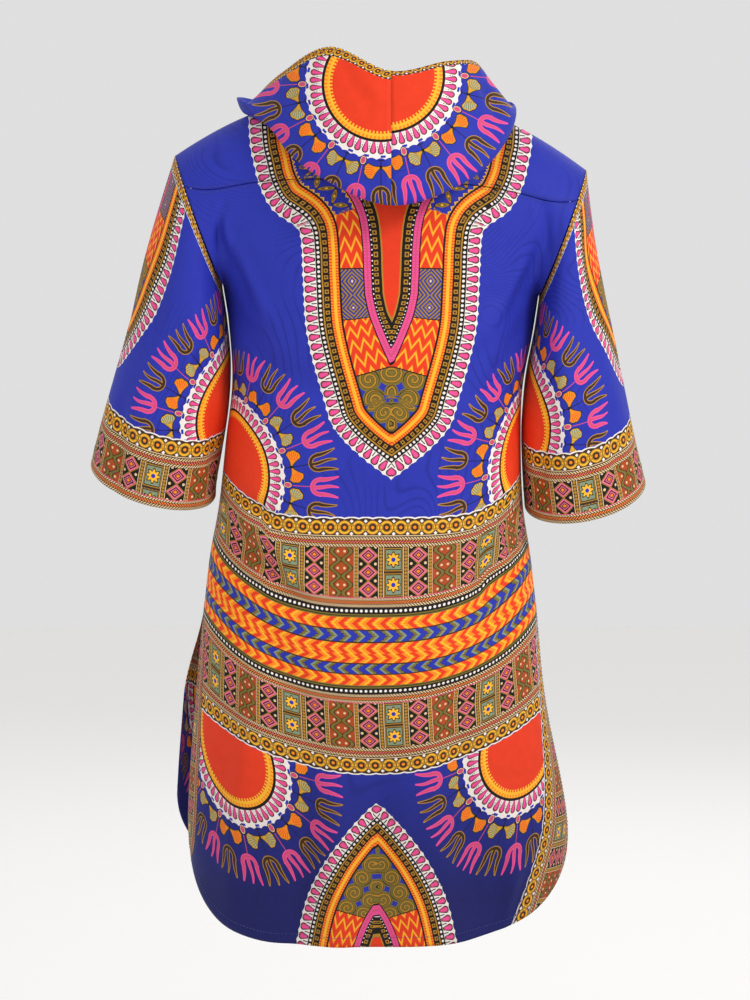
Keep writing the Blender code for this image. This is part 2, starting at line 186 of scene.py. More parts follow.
@dataclass
class TunicForm:
    """The worn shape, worked out from the same sizes as the solids."""

    wall: float = 0.0014
    seam_gap: float = 0.0003
    armhole_gap: float = 0.0009
    neck_half_width: float = 0.085
    neck_depth: dict[Side, float] = field(
        default_factory=lambda: {Side.BACK: 0.060, Side.FRONT: 0.100})
    neck_side_z: float = 0.012
    neck_drop: dict[Side, float] = field(
        default_factory=lambda: {Side.BACK: 0.005, Side.FRONT: 0.087})
    neck_curve: float = 1.5
    neck_share: float = 6 / 14
    shoulder_half_width: float = 0.250
    shoulder_tip_z: float = -0.060
    shoulder_round: float = 1.6
    shoulder_roll: float = 0.035
    roll_fade: tuple[float, float] = (0.22, 0.46)
    chest_curve: float = 1.5
    armhole_pull: float = 3
    yoke_seam_z: float = -0.084
    yoke_seam_share: float = 8 / 12
    yoke_end_rise: float = 6
    armhole_x: float = 0.2215
    armhole_z: float = -0.138
    armhole_up_x: float = 0.0285
    armhole_up_z: float = 0.078
    armhole_half_depth: float = 0.088
    slit_top_z: float = -0.600
    hem_z: float = -1.003
    slit_spread: float = 0.012
    slit_spread_length: float = 0.12
    slit_spread_curve: float = 4
    front_swing: float = 0.016
    roundness: float = 2.3
    fold_end_fade: float = 8
    arc_of_across: float = 0.27
    body: Table = Table("z lean half_width back_depth front_depth", (
        (-0.216, 0.005, 0.193, 0.128, 0.120),
        (-0.262, 0.005, 0.186, 0.131, 0.124),
        (-0.330, 0.009, 0.178, 0.125, 0.124),
        (-0.400, 0.014, 0.181, 0.116, 0.122),
        (-0.480, 0.017, 0.187, 0.114, 0.122),
        (-0.540, 0.018, 0.197, 0.124, 0.125),
        (-0.600, 0.018, 0.204, 0.137, 0.130),
        (-0.714, 0.018, 0.215, 0.146, 0.138),
        (-0.864, 0.009, 0.234, 0.148, 0.146),
        (-0.940, 0.007, 0.231, 0.144, 0.148),
        (-1.003, 0.006, 0.228, 0.140, 0.150),
    ))
    sleeve: Table = Table("along outer_x outer_z inner_x inner_z half_depth back_drop", (
        (0.00, 0.2500, -0.060, 0.1930, -0.216, 0.088, 0.000),
        (0.18, 0.2590, -0.112, 0.1862, -0.262, 0.089, 0.005),
        (0.38, 0.2730, -0.182, 0.1792, -0.314, 0.087, 0.011),
        (0.58, 0.2890, -0.262, 0.1782, -0.368, 0.084, 0.017),
        (0.79, 0.3090, -0.347, 0.1817, -0.420, 0.081, 0.022),
        (1.00, 0.3320, -0.440, 0.1870, -0.474, 0.078, 0.028),
    ))
    sleeve_swing: dict[Hand, float] = field(
        default_factory=lambda: {Hand.LEFT: 0.010, Hand.RIGHT: -0.006})
    sleeve_flare: dict[Hand, float] = field(
        default_factory=lambda: {Hand.LEFT: 0.013, Hand.RIGHT: 0.004})
    hood: Table = Table("turn fold_out fold_z rim_out rim_z belly", (
        (-180, 0.117, -0.068, 0.110, -0.046, 0.004),
        (-150, 0.117, -0.038, 0.109, -0.012, 0.006),
        (-120, 0.130, -0.006, 0.124, 0.016, 0.006),
        (-90, 0.148, 0.003, 0.138, 0.021, 0.008),
        (-60, 0.164, -0.030, 0.129, 0.060, 0.014),
        (-30, 0.176, -0.083, 0.140, 0.060, 0.014),
        (0, 0.178, -0.113, 0.142, 0.045, 0.014),
        (30, 0.172, -0.080, 0.140, 0.072, 0.013),
        (60, 0.162, -0.029, 0.142, 0.043, 0.012),
        (90, 0.165, -0.006, 0.147, 0.013, 0.008),
        (120, 0.134, -0.010, 0.122, 0.010, 0.006),
        (150, 0.117, -0.038, 0.109, -0.012, 0.006),
        (180, 0.117, -0.068, 0.110, -0.046, 0.004),
    ))
    hood_profile: Table = Table("out down rim_out rim_up stand bend_out bend_up belly", (
        (0.00, 0.00, 0.00, 0.0, 0, 0.0, 0.0, 0),
        (0.12, 0.00, 0.00, 0.0, 1, 0.0, 0.0, 0),
        (0.42, 0.16, 0.00, 0.0, 1, 0.0, 0.0, 0),
        (1.00, 1.00, 0.00, 0.0, 0, -1.6, 1.5, 0),
        (1.00, 1.00, 0.00, 0.0, 0, 0.0, 0.0, 0),
        (1.00, 1.00, 0.00, 0.0, 0, 0.8, 1.5, 0),
        (1.00, 1.00, 0.45, 0.5, 0, 0.0, 0.0, 1),
        (1.00, 1.00, 1.00, 1.0, 0, 0.0, 0.0, 0),
    ))
    hood_shift_x: float = -0.012
    hood_shift_span: tuple[float, float] = (0.15, 0.6)
    hood_stand: float = 0.016
    hood_lift: float = 0.0026
    hood_fold_radius: float = 0.013
    hood_full_reach: float = 0.09
    hood_least_bend: float = 0.25
    hood_least_stand: float = 0.5
    strip_seam: Table = Table("down left right", (
        (0.00, 0.985, 0.985),
        (0.12, 0.840, 0.860),
        (0.30, 0.800, 0.830),
        (0.55, 0.770, 0.720),
        (0.80, 0.790, 0.590),
        (1.00, 0.930, 0.470),
    ))
    hem_corner: dict[tuple[Side, Hand], tuple[float, float]] = field(default_factory=lambda: {
        (Side.BACK, Hand.LEFT): (0.100, 6.0),
        (Side.BACK, Hand.RIGHT): (0.110, 3.2),
        (Side.FRONT, Hand.LEFT): (0.160, 2.8),
        (Side.FRONT, Hand.RIGHT): (0.150, 2.8),
    })
    folds: tuple[Fold, ...] = (
        Fold(Side.BACK, 0.62, -0.520, 0.10, 0.050, 0.9, -0.007),
        Fold(Side.BACK, -0.60, -0.540, 0.10, 0.060, -1.0, -0.008),
        Fold(Side.BACK, -0.72, -0.460, 0.09, 0.050, -0.8, 0.006),
        Fold(Side.BACK, 0.05, -0.470, 0.45, 0.040, 0.0, -0.006),
        Fold(Side.BACK, -0.42, -0.900, 0.09, 0.150, -0.1, -0.009),
        Fold(Side.BACK, 0.30, -0.880, 0.12, 0.160, 0.1, 0.006),
        Fold(Side.BACK, -0.15, -0.840, 0.11, 0.170, 0.0, 0.005),
        Fold(Side.FRONT, 0.50, -0.540, 0.12, 0.070, 0.8, -0.007),
        Fold(Side.FRONT, -0.48, -0.500, 0.12, 0.070, -0.8, -0.007),
        Fold(Side.FRONT, 0.00, -0.820, 0.12, 0.200, 0.0, -0.008),
        Fold(Side.FRONT, 0.42, -0.860, 0.12, 0.180, 0.1, 0.007),
        Fold(Side.FRONT, -0.45, -0.850, 0.12, 0.180, -0.1, 0.007),
    )

    @property
    def armpit_z(self) -> float:
        """The height of the armhole's lowest point."""
        return self.armhole_z - self.armhole_up_z

    def rolled(self, points: Numbers, share: Numbers = 1.0) -> Numbers:
        """The points with the shoulders' tilt, which lifts the wearer's left side."""
        points[..., 2] += self.shoulder_roll * points[..., 0] * share
        return points

    def body_points(self, side: Side, across: Numbers, z: Numbers) -> Numbers:
        """The body below the armpit.

        Args:
            side: the back or the front.
            across: from -1 to 1 between the side seams.
            z: heights.

        Returns:
            Points on the cloth's middle.
        """
        name = "back_depth" if side is Side.BACK else "front_depth"
        angle = across * math.pi / 2
        aside = np.abs(np.sin(angle)) ** (2 / self.roundness) * np.sign(across)
        middle = np.abs(np.cos(angle)) ** (2 / self.roundness)
        width, depth = self.body.read("half_width", z), self.body.read(name, z)
        opened = step(-z, -self.slit_top_z, -self.slit_top_z + self.slit_spread_length)
        swing = self.front_swing * opened if side is Side.FRONT else 0.0
        spread = self.slit_spread * opened * np.abs(across) ** self.slit_spread_curve
        length = np.hypot(aside / width, middle / depth)
        pushed = sum(f.depth_at(across, z) for f in self.folds if f.side is side)
        pushed = pushed * (1 - np.abs(across) ** self.fold_end_fade)
        return self.rolled(points_of(
            self.body.read("lean", z) + width * aside + swing + aside / width / length * pushed,
            side.value * (depth * middle + spread + self.seam_gap / 2
                          + middle / depth / length * pushed),
            z,
        ), 1 - step(-z, *self.roll_fade))

    def skirt_points(self, side: Side, across: Numbers, down: Numbers) -> Numbers:
        """The skirt, from the slit's top (down = 0) to the rounded hem (down = 1).

        Args:
            side: the back or the front.
            across: from -1 to 1 between the side seams.
            down: shares down the skirt.

        Returns:
            Points on the cloth's middle.
        """
        left, right = self.hem_corner[side, Hand.LEFT], self.hem_corner[side, Hand.RIGHT]
        rise = np.where(across > 0, left[0], right[0])
        power = np.where(across > 0, left[1], right[1])
        aside = np.minimum(1.0, np.abs(np.sin(across * math.pi / 2)) ** (2 / self.roundness))
        hem = self.hem_z + rise * (1 - np.sqrt(1 - aside ** power))
        return self.body_points(side, across, blend(self.slit_top_z, hem, down))

    def armhole_points(self, hand: Numbers, turn: Numbers) -> Numbers:
        """The armhole's ring. Turn runs from 0 at the shoulder, over the back, to pi below.

        Args:
            hand: 1 for the wearer's left and -1 for the right.
            turn: angles.

        Returns:
            Points on the seam.
        """
        x = self.armhole_x + self.armhole_up_x * np.cos(turn)
        z = self.armhole_z + self.armhole_up_z * np.cos(turn)
        lean = self.body.read("lean", z)
        return self.rolled(points_of(hand * x + lean, self.armhole_half_depth * np.sin(turn), z))

    def top_points(self, side: Side, across: Numbers) -> Numbers:
        """The panel's top edge: the shoulder's ridge, and the neck hole's edge between them.

        Args:
            side: the back or the front.
            across: from -1 to 1 between the armholes.

        Returns:
            Points on the edge.
        """
        hand, far = np.sign(across), np.abs(across)
        reach = np.sin(np.minimum(1.0, far / self.neck_share) * math.pi / 2)
        inward = np.sqrt(np.maximum(0.0, 1 - reach * reach))
        share = np.clip((far - self.neck_share) / (1 - self.neck_share), 0.0, 1.0)
        width = blend(self.neck_half_width, self.shoulder_half_width, share)
        ridge = blend(self.neck_side_z, self.shoulder_tip_z, share ** self.shoulder_round)
        at_neck = far < self.neck_share
        return points_of(
            hand * np.where(at_neck, self.neck_half_width * reach, width),
            np.where(at_neck, side.value * self.neck_depth[side] * inward, 0.0),
            np.where(at_neck, self.neck_side_z - self.neck_drop[side] * inward ** self.neck_curve,
                     ridge),
        )

    def chest_base(self, side: Side, across: Numbers, up: Numbers) -> Numbers:
        """A rounded sheet from the armpit's level (up = 0) to the shoulder's ridge (up = 1).

        Args:
            side: the back or the front.
            across: from -1 to 1 between the side seams.
            up: shares up the chest.

        Returns:
            Points on the cloth's middle.
        """
        low = self.body_points(side, across, np.full_like(across, self.armpit_z))
        high = self.top_points(side, across)
        high[..., 0] += self.body.read("lean", high[..., 2])
        high[..., 1] += side.value * self.seam_gap / 2
        high = self.rolled(high)
        shares = points_of(up ** self.chest_curve, 1 - np.cos(up * math.pi / 2),
                           np.sin(up * math.pi / 2))
        return blend(low, high, shares)

    def chest_points(self, side: Side, across: Numbers, up: Numbers) -> Numbers:
        """The cloth above the armpit, drawn out to the armhole at its sides.

        Args:
            side: the back or the front.
            across: from -1 to 1 between the side seams.
            up: shares up the chest.

        Returns:
            Points on the cloth's middle.
        """
        hand = np.where(across > 0, 1.0, -1.0)
        seam = self.armhole_points(hand, math.pi * (1 - up))
        seam[..., 1] = side.value * (seam[..., 1] + self.seam_gap / 2)
        drawn = seam - self.chest_base(side, hand, up)
        aside = np.abs(across) ** self.armhole_pull
        around = 1 - np.abs(np.cos(across * math.pi / 2)) ** (2 / self.roundness)
        pull = points_of(aside, around, aside)
        return self.chest_base(side, across, up) + drawn * pull

    def yoke_seam(self, across: Numbers) -> Numbers:
        """How far up the back, from the armpit to the ridge, the yoke's seam lies.

        Args:
            across: from -1 to 1 between the armholes.

        Returns:
            Shares of the way up.
        """
        level, end = (
            np.arcsin((self.yoke_seam_z - self.armpit_z)
                      / (self.top_points(Side.BACK, place)[..., 2] - self.armpit_z)) / (math.pi / 2)
            for place in (across, np.ones_like(across))
        )
        return level + (self.yoke_seam_share - end) * np.abs(across) ** self.yoke_end_rise

    def strip_edge(self, across: Numbers, down: Numbers) -> Numbers:
        """Where the strip's seam lies across the skirt, on the side that across names."""
        return np.where(across > 0, self.strip_seam.read("left", down),
                        self.strip_seam.read("right", down))

    def sleeve_points(self, hand: Hand, around: Numbers, along: Numbers) -> Numbers:
        """A sleeve from the armhole to the cuff. Around is 0 at the outer edge, 0.5 inside.

        Args:
            hand: the wearer's left or right.
            around: shares of a turn round the sleeve.
            along: shares of the way to the cuff.

        Returns:
            Points on the cloth's middle.
        """
        turn = around * 2 * math.pi
        outer_x, outer_z, inner_x, inner_z, depth, drop = (
            self.sleeve.read(name, along) for name in self.sleeve.names.split()[1:])
        inside = (1 - np.cos(turn)) / 2
        x = (outer_x + inner_x) / 2 + (outer_x - inner_x) / 2 * np.cos(turn)
        z = (outer_z + inner_z) / 2 + (outer_z - inner_z) / 2 * np.cos(turn)
        z = z - drop * np.sin(turn)
        swing = self.sleeve_swing[hand] * np.sin(along * math.pi)
        x = x + (swing + self.sleeve_flare[hand] * along) * (1 - inside)
        x = x + self.armhole_gap + (self.wall + self.seam_gap) * inside
        lean = self.body.read("lean", z)
        return self.rolled(points_of(hand.value * x + lean, depth * np.sin(turn), z))

    def hood_points(self, turn: Numbers, along: Numbers) -> Numbers:
        """The hood, pushed back: from the neck seam down to its fold and up to its rim.

        Args:
            turn: degrees round the neck from the centre back, the wearer's left positive.
            along: from 0 at the neck seam to 1 at the rim.

        Returns:
            Points on the cloth's middle.
        """
        angle = np.radians(turn)
        back = np.cos(angle) > 0
        depth = np.where(back, self.neck_depth[Side.BACK], self.neck_depth[Side.FRONT])
        dropped = np.where(back, self.neck_drop[Side.BACK], self.neck_drop[Side.FRONT])
        neck_out = 1 / np.hypot(np.sin(angle) / self.neck_half_width, np.cos(angle) / depth)
        reach = neck_out * np.sin(angle) / self.neck_half_width
        inward = np.sqrt(np.maximum(0.0, 1 - reach ** 2))
        neck_z = self.neck_side_z - dropped * inward ** self.neck_curve + self.hood_lift
        fold_out, fold_z, rim_out, rim_z, belly = (
            self.hood.read(name, turn) for name in self.hood.names.split()[1:])
        size = step(fold_out - neck_out, 0.0, self.hood_full_reach)
        bend = self.hood_fold_radius * blend(self.hood_least_bend, 1.0, size)
        stand = self.hood_stand * blend(self.hood_least_stand, 1.0, size)
        curve = [
            np.stack((
                blend(neck_out, fold_out, out) + (rim_out - fold_out) * rim_aside
                + bend * bend_out + belly * belly_share,
                blend(neck_z, fold_z, down) + (rim_z - fold_z) * rim_up
                + bend * bend_up + stand * stand_share,
            ))
            for out, down, rim_aside, rim_up, stand_share, bend_out, bend_up, belly_share
            in self.hood_profile.rows
        ]
        places = np.stack(curve)
        spot = along * (len(curve) - 1)
        index = np.minimum(len(curve) - 2, spot.astype(int))
        share = spot - index
        every = np.arange(len(turn))
        before, start, end, after = (
            places[np.clip(index + offset, 0, len(curve) - 1), :, every].T
            for offset in (-1, 0, 1, 2))
        out, height = 0.5 * (
            2 * start + (end - before) * share
            + (2 * before - 5 * start + 4 * end - after) * share ** 2
            + (3 * start - before - 3 * end + after) * share ** 3
        )
        shift = self.hood_shift_x * np.maximum(0.0, np.cos(angle))
        shift = shift * step(along, *self.hood_shift_span)
        lean = self.body.read("lean", height)
        return self.rolled(points_of(
            out * np.sin(angle) + shift + lean, out * np.cos(angle), height))


@dataclass(frozen=True)
class Crease:
    """A soft trough or ridge, placed as it is seen from its side of the tunic.

    x and z are its middle, turn its angle from level in degrees, and depth is positive outwards.
    """

    x: float
    z: float
    length: float
    width: float
    turn: float
    depth: float

    def depth_at(self, points: Numbers) -> Numbers:
        """How far the crease moves each point out.

        Args:
            points: points of the cloth.

        Returns:
            Depths in metres, positive outwards.
        """
        turn = math.radians(self.turn)
        x, z = points[..., 0] - self.x, points[..., 2] - self.z
        along = (x * math.cos(turn) + z * math.sin(turn)) / (self.length / 2)
        aside = (z * math.cos(turn) - x * math.sin(turn)) / (self.width / 2)
        return self.depth * np.exp(-along ** 4) * hump(aside)


# At the armholes, across the shoulder blades, round the waist, and down the skirt.
BACK_CREASES = (
    Crease(0.199, -0.140, 0.070, 0.012, -82, -0.0060),
    Crease(0.190, -0.150, 0.080, 0.012, 78, 0.0040),
    Crease(-0.196, -0.150, 0.080, 0.014, 80, -0.0050),
    Crease(0.159, -0.472, 0.070, 0.016, 36, -0.0080),
    Crease(0.163, -0.497, 0.070, 0.016, 30, 0.0069),
    Crease(0.133, -0.555, 0.110, 0.020, 43, -0.0092),
    Crease(0.116, -0.540, 0.090, 0.018, 47, 0.0058),
    Crease(-0.118, -0.536, 0.110, 0.016, -82, -0.0080),
    Crease(-0.142, -0.537, 0.110, 0.018, 66, 0.0080),
    Crease(-0.160, -0.500, 0.080, 0.014, 60, -0.0058),
    Crease(0.179, -0.192, 0.100, 0.018, 68, -0.0068),
    Crease(0.160, -0.205, 0.110, 0.018, 63, 0.0048),
    Crease(0.166, -0.262, 0.130, 0.022, 58, -0.0051),
    Crease(-0.172, -0.200, 0.110, 0.020, -67, -0.0068),
    Crease(-0.150, -0.215, 0.110, 0.018, -60, 0.0044),
    Crease(-0.155, -0.280, 0.120, 0.022, -62, -0.0048),
    Crease(0.105, -0.890, 0.260, 0.046, 93, -0.0115),
    Crease(0.060, -0.905, 0.220, 0.040, 88, 0.0082),
    Crease(-0.100, -0.850, 0.300, 0.044, 84, -0.0115),
    Crease(-0.150, -0.900, 0.220, 0.036, 80, 0.0092),
    Crease(0.170, -0.820, 0.300, 0.040, 96, 0.0082),
    Crease(0.006, -0.880, 0.200, 0.036, 91, -0.0059),
    Crease(0.030, -0.398, 0.210, 0.030, 6, -0.0041),
    Crease(-0.055, -0.365, 0.150, 0.028, -9, 0.0034),
    Crease(0.090, -0.330, 0.140, 0.028, 30, -0.0041),
    Crease(-0.085, -0.310, 0.130, 0.026, -34, -0.0037),
    Crease(0.075, -0.190, 0.150, 0.034, 62, -0.0031),
    Crease(-0.080, -0.180, 0.140, 0.034, -66, -0.0031),
    Crease(0.020, -0.640, 0.200, 0.040, 4, 0.0046),
    Crease(-0.060, -0.700, 0.180, 0.040, 12, -0.0050),
    Crease(0.110, -0.690, 0.150, 0.036, 62, -0.0059),
)
# The front doesn't show in the photograph, so its creases are like the back's in other places.
FRONT_CREASES = (
    Crease(0.150, -0.480, 0.090, 0.018, -40, -0.0082),
    Crease(0.128, -0.560, 0.110, 0.020, -48, 0.0069),
    Crease(-0.130, -0.470, 0.090, 0.018, 38, -0.0078),
    Crease(-0.112, -0.550, 0.120, 0.020, 50, -0.0073),
    Crease(0.172, -0.215, 0.110, 0.020, 66, -0.0065),
    Crease(-0.165, -0.210, 0.110, 0.020, -64, -0.0065),
    Crease(0.140, -0.270, 0.130, 0.022, 56, 0.0044),
    Crease(-0.140, -0.275, 0.120, 0.022, -58, -0.0044),
    Crease(0.020, -0.400, 0.200, 0.030, -5, -0.0037),
    Crease(0.070, -0.220, 0.160, 0.034, 74, -0.0034),
    Crease(-0.060, -0.230, 0.160, 0.034, -76, -0.0034),
    Crease(0.090, -0.840, 0.300, 0.046, 91, -0.0115),
    Crease(-0.080, -0.850, 0.280, 0.044, 87, -0.0105),
    Crease(0.005, -0.830, 0.260, 0.040, 90, 0.0082),
    Crease(0.160, -0.850, 0.240, 0.038, 95, 0.0088),
    Crease(-0.150, -0.830, 0.240, 0.038, 83, 0.0088),
)
# Down the sleeves, and deeper towards the cuffs.
SLEEVE_CREASES = (
    Crease(0.270, -0.216, 0.120, 0.018, -77, -0.0048),
    Crease(0.237, -0.306, 0.150, 0.020, -83, 0.0048),
    Crease(0.323, -0.408, 0.110, 0.018, -85, -0.0054),
    Crease(0.207, -0.416, 0.110, 0.014, -88, -0.0051),
    Crease(0.262, -0.420, 0.120, 0.022, -80, -0.0041),
    Crease(0.290, -0.330, 0.110, 0.024, -72, 0.0037),
    Crease(-0.252, -0.210, 0.120, 0.020, 84, -0.0048),
    Crease(-0.219, -0.354, 0.160, 0.020, 84, 0.0048),
    Crease(-0.279, -0.402, 0.100, 0.018, 79, -0.0054),
    Crease(-0.190, -0.420, 0.100, 0.014, -86, -0.0048),
    Crease(-0.246, -0.430, 0.110, 0.022, 82, -0.0044),
    Crease(-0.266, -0.310, 0.110, 0.024, 74, 0.0037),
)
# From the hood's rim towards its fold, where its own weight pulls it.
HOOD_CREASES = (
    Crease(0.037, 0.034, 0.070, 0.016, 53, -0.0041),
    Crease(0.014, 0.021, 0.060, 0.014, 34, 0.0034),
    Crease(0.141, -0.022, 0.070, 0.016, 27, -0.0048),
    Crease(-0.125, 0.015, 0.070, 0.016, 64, -0.0048),
    Crease(0.020, -0.087, 0.070, 0.014, 22, -0.0027),
    Crease(-0.070, -0.020, 0.090, 0.020, -48, -0.0037),
    Crease(0.085, -0.010, 0.090, 0.020, 44, -0.0034),
)


@dataclass
class Cloth:
    """Everything known at a panel's grid points: its place and how the cloth runs there.

    run is the arc length from the panel's middle column, rise the height with the bands' sag
    taken out, and reach and rest the lengths up the columns from the first row and to the last.
    """

    points: Numbers
    run: Numbers
    rise: Numbers
    reach: Numbers
    rest: Numbers

    @property
    def outer(self) -> Numbers:
        """On a tube, the arc length from its first column, towards the back positive."""
        half = -self.run[:, [0]]
        return np.where(self.run < 0, self.run + half, self.run - half)


@dataclass(frozen=True)
class Zone:
    """A stretch of a print: where it lies, and its own coordinates in metres."""

    print_name: str
    covers: Callable[[Cloth], Numbers]
    place: Callable[[Cloth], tuple[Numbers, Numbers]]


PRINT_MAP = "Print"
# Real cotton is about 0.3 mm thick. This is thicker, so that its cut edges show.
SHEET_WALL = 0.0008
MERGE_DISTANCE = 0.00001


class Edge(Enum):
    """The four edges of a panel's grid."""

    BOTTOM = "bottom"
    TOP = "top"
    FIRST = "first column"
    LAST = "last column"


@dataclass(frozen=True)
class Seam:
    """A row of machine stitches along one edge of a panel.

    The thread is drawn about twice as thick and its stitches half as long again as real ones,
    because finer ones wouldn't show.
    """

    edge: Edge
    inset: float
    pitch: float = 0.0045
    length: float = 0.0034
    thread: float = 0.0007
    raised_share: float = 0.4

    def turned(self, values: Numbers) -> Numbers:
        """The grid's values with this seam's edge as their first row."""
        if self.edge in (Edge.FIRST, Edge.LAST):
            values = values.swapaxes(0, 1)
        return values[::-1] if self.edge in (Edge.TOP, Edge.LAST) else values

    def line(self, points: Numbers, normals: Numbers) -> tuple[Numbers, Numbers]:
        """Traces the seam over the panel.

        Args:
            points: the panel's grid.
            normals: the outward direction at every point.

        Returns:
            The seam's points, a pitch apart, and the outward directions there.
        """
        points, normals = self.turned(points), self.turned(normals)
        steps = np.linalg.norm(np.diff(points, axis=0), axis=-1)
        depth = np.concatenate((np.zeros((1, points.shape[1])), np.cumsum(steps, axis=0)))
        both = np.concatenate((points, normals), axis=-1)
        traced = np.array([
            [np.interp(self.inset, depth[:, column], both[:, column, part]) for part in range(6)]
            for column in range(points.shape[1])
        ])
        gone = np.linalg.norm(np.diff(traced[:, :3], axis=0), axis=-1)
        gone = np.concatenate(([0.0], np.cumsum(gone)))
        spots = np.arange(self.pitch / 2, gone[-1], self.pitch)
        placed = np.array([np.interp(spots, gone, traced[:, part]) for part in range(6)]).T
        return placed[:, :3], placed[:, 3:]

    def sew(self, name: str, points: Numbers, normals: Numbers) -> bpy.types.Object:
        """Lays the stitches on the cloth.

        Args:
            name: the new object's name.
            points: the panel's grid.
            normals: the outward direction at every point.

        Returns:
            All the seam's stitches as one piece.
        """
        spots, outs = self.line(points, normals)
        thread = bmesh.new()
        for spot, out, forward in zip(spots, outs, np.gradient(spots, axis=0)):
            out, forward = Vector(out).normalized(), Vector(forward).normalized()
            aside = out.cross(forward).normalized()
            place = Matrix((forward * self.length / 2, aside * self.thread / 2,
                            out * self.thread / 2)).transposed().to_4x4()
            place.translation = Vector(spot) + out * (
                SHEET_WALL + self.thread * self.raised_share) / 2
            bmesh.ops.create_icosphere(thread, subdivisions=1, radius=1.0, matrix=place)
        mesh = bpy.data.meshes.new(name)
        thread.to_mesh(mesh)
        thread.free()
        mesh.shade_smooth()
        piece = bpy.data.objects.new(name, mesh)
        bpy.context.scene.collection.objects.link(piece)
        return piece


@dataclass
class Panel:
    """One cut piece of the tunic, as a fine grid on its form."""

    name: str
    slot: str
    columns: int
    rows: int
    place: Callable[[Numbers, Numbers], Numbers]
    zones: tuple[Zone, ...]
    flat: tuple[float, float]
    area: float | None = None
    creases: tuple[Crease, ...] = ()
    crease_fade: Callable[[Numbers, Numbers], Numbers] | None = None
    sag: Callable[[Numbers], Numbers] | None = None
    closed: bool = False
    outward: float = 1.0
    seams: tuple[Seam, ...] = ()
    levels: tuple[tuple[str, float], ...] = ()

    def grid(self, aside: Numbers, up: Numbers) -> Numbers:
        """Places the grid on its form and presses the creases into it.

        Args:
            aside: shares across, as rows of the grid.
            up: shares up, as rows of the grid.

        Returns:
            The points, with the shape of the grid.
        """
        points = self.creased(aside, up)
        return self.creased(aside, self.levelled(self.cloth(points), up))

    def levelled(self, cloth: Cloth, up: Numbers) -> Numbers:
        """Moves the rows so that some of them follow the edges of the print's bands.

        Args:
            cloth: what is known at the even grid's points.
            up: the even grid's shares up.

        Returns:
            The shares up of the moved rows.
        """
        crossed = []
        for measure, level in self.levels:
            values = getattr(cloth, measure)
            if values[0, 0] > values[-1, 0]:
                values, level = -values, -level
            crossed.append(np.array([
                np.interp(level, values[:, column], up[:, column])
                for column in range(up.shape[1])
            ]))
        crossed.sort(key=np.mean)
        marks = [0.0, *(np.rint(shares.mean() * self.rows) / self.rows for shares in crossed), 1.0]
        ends = np.array([np.zeros(up.shape[1]), *crossed, np.ones(up.shape[1])])
        return np.stack([
            np.interp(up[:, column], marks, ends[:, column]) for column in range(up.shape[1])
        ], axis=1)

    def creased(self, aside: Numbers, up: Numbers) -> Numbers:
        """The form's points at these shares, with the creases pressed in.

        Args:
            aside: shares across the grid.
            up: shares up the grid.

        Returns:
            The points, with the shape of the grid.
        """
        points = self.place(aside.ravel(), up.ravel()).reshape(*aside.shape, 3)
        if self.creases:
            outward = self.normals(points)
            pushed = sum(crease.depth_at(points) for crease in self.creases)
            if self.crease_fade:
                pushed = pushed * self.crease_fade(aside, up)
            points = points + outward * pushed[..., None]
        return points

    def normals(self, points: Numbers) -> Numbers:
        """The outward direction at every point of the grid.

        Args:
            points: the panel's grid.

        Returns:
            Unit vectors.
        """
        across, upward = np.gradient(points, axis=1), np.gradient(points, axis=0)
        if self.closed:
            ends = (points[:, 1] - points[:, -2]) / 2
            across[:, 0] = across[:, -1] = ends
        normal = np.cross(across, upward) * self.outward
        length = np.linalg.norm(normal, axis=-1, keepdims=True)
        return normal / np.maximum(length, 1e-9)

    def cloth(self, points: Numbers) -> Cloth:
        """Measures how the cloth runs at every point of the grid.

        Args:
            points: the panel's grid.

        Returns:
            What is known there.
        """
        steps = np.linalg.norm(np.diff(points, axis=1), axis=-1)
        run = np.concatenate((np.zeros((len(points), 1)), np.cumsum(steps, axis=1)), axis=1)
        run = run - run[:, [run.shape[1] // 2]]
        steps = np.linalg.norm(np.diff(points, axis=0), axis=-1)
        reach = np.concatenate((np.zeros((1, points.shape[1])), np.cumsum(steps, axis=0)))
        rise = points[..., 2] - (self.sag(points) if self.sag else 0.0)
        return Cloth(points, run, rise, reach, reach[-1] - reach)

    def build(self, prints: dict[str, bpy.types.Material],
              thread: bpy.types.Material) -> bpy.types.Object:
        """Makes the panel, prints it, gives it its thickness and hangs it on the frame.

        Args:
            prints: the materials by the names that the zones use.
            thread: the sewing thread.

        Returns:
            The finished piece.
        """
        sheet = bmesh.new()
        bmesh.ops.create_grid(sheet, x_segments=self.columns, y_segments=self.rows, size=1.0)
        corners = np.array([vert.co[:2] for vert in sheet.verts])
        column = np.rint((corners[:, 0] + 1) / 2 * self.columns).astype(int)
        row = np.rint((corners[:, 1] + 1) / 2 * self.rows).astype(int)
        up, aside = np.mgrid[0:self.rows + 1, 0:self.columns + 1].astype(float)
        aside, up = aside / self.columns, up / self.rows
        points = self.grid(aside, up)
        for vert, where in zip(sheet.verts, points[row, column]):
            vert.co = where
        self.lay_print(sheet, self.cloth(points), row, column)
        if self.closed:
            bmesh.ops.remove_doubles(sheet, verts=sheet.verts, dist=MERGE_DISTANCE)
        if self.outward < 0:
            bmesh.ops.reverse_faces(sheet, faces=sheet.faces)
        mesh = bpy.data.meshes.new(f"{self.name}_cloth")
        sheet.to_mesh(mesh)
        sheet.free()
        mesh.shade_smooth()
        for name in self.print_names():
            mesh.materials.append(prints[name])
        piece = bpy.data.objects.new(f"{self.name}_cloth", mesh)
        bpy.context.scene.collection.objects.link(piece)
        wall = piece.modifiers.new("Wall", "SOLIDIFY")
        wall.thickness, wall.offset = SHEET_WALL, 0.0
        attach(piece, "root")
        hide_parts(self.name)
        for seam in self.seams:
            self.sew(seam, points, thread)
        return piece

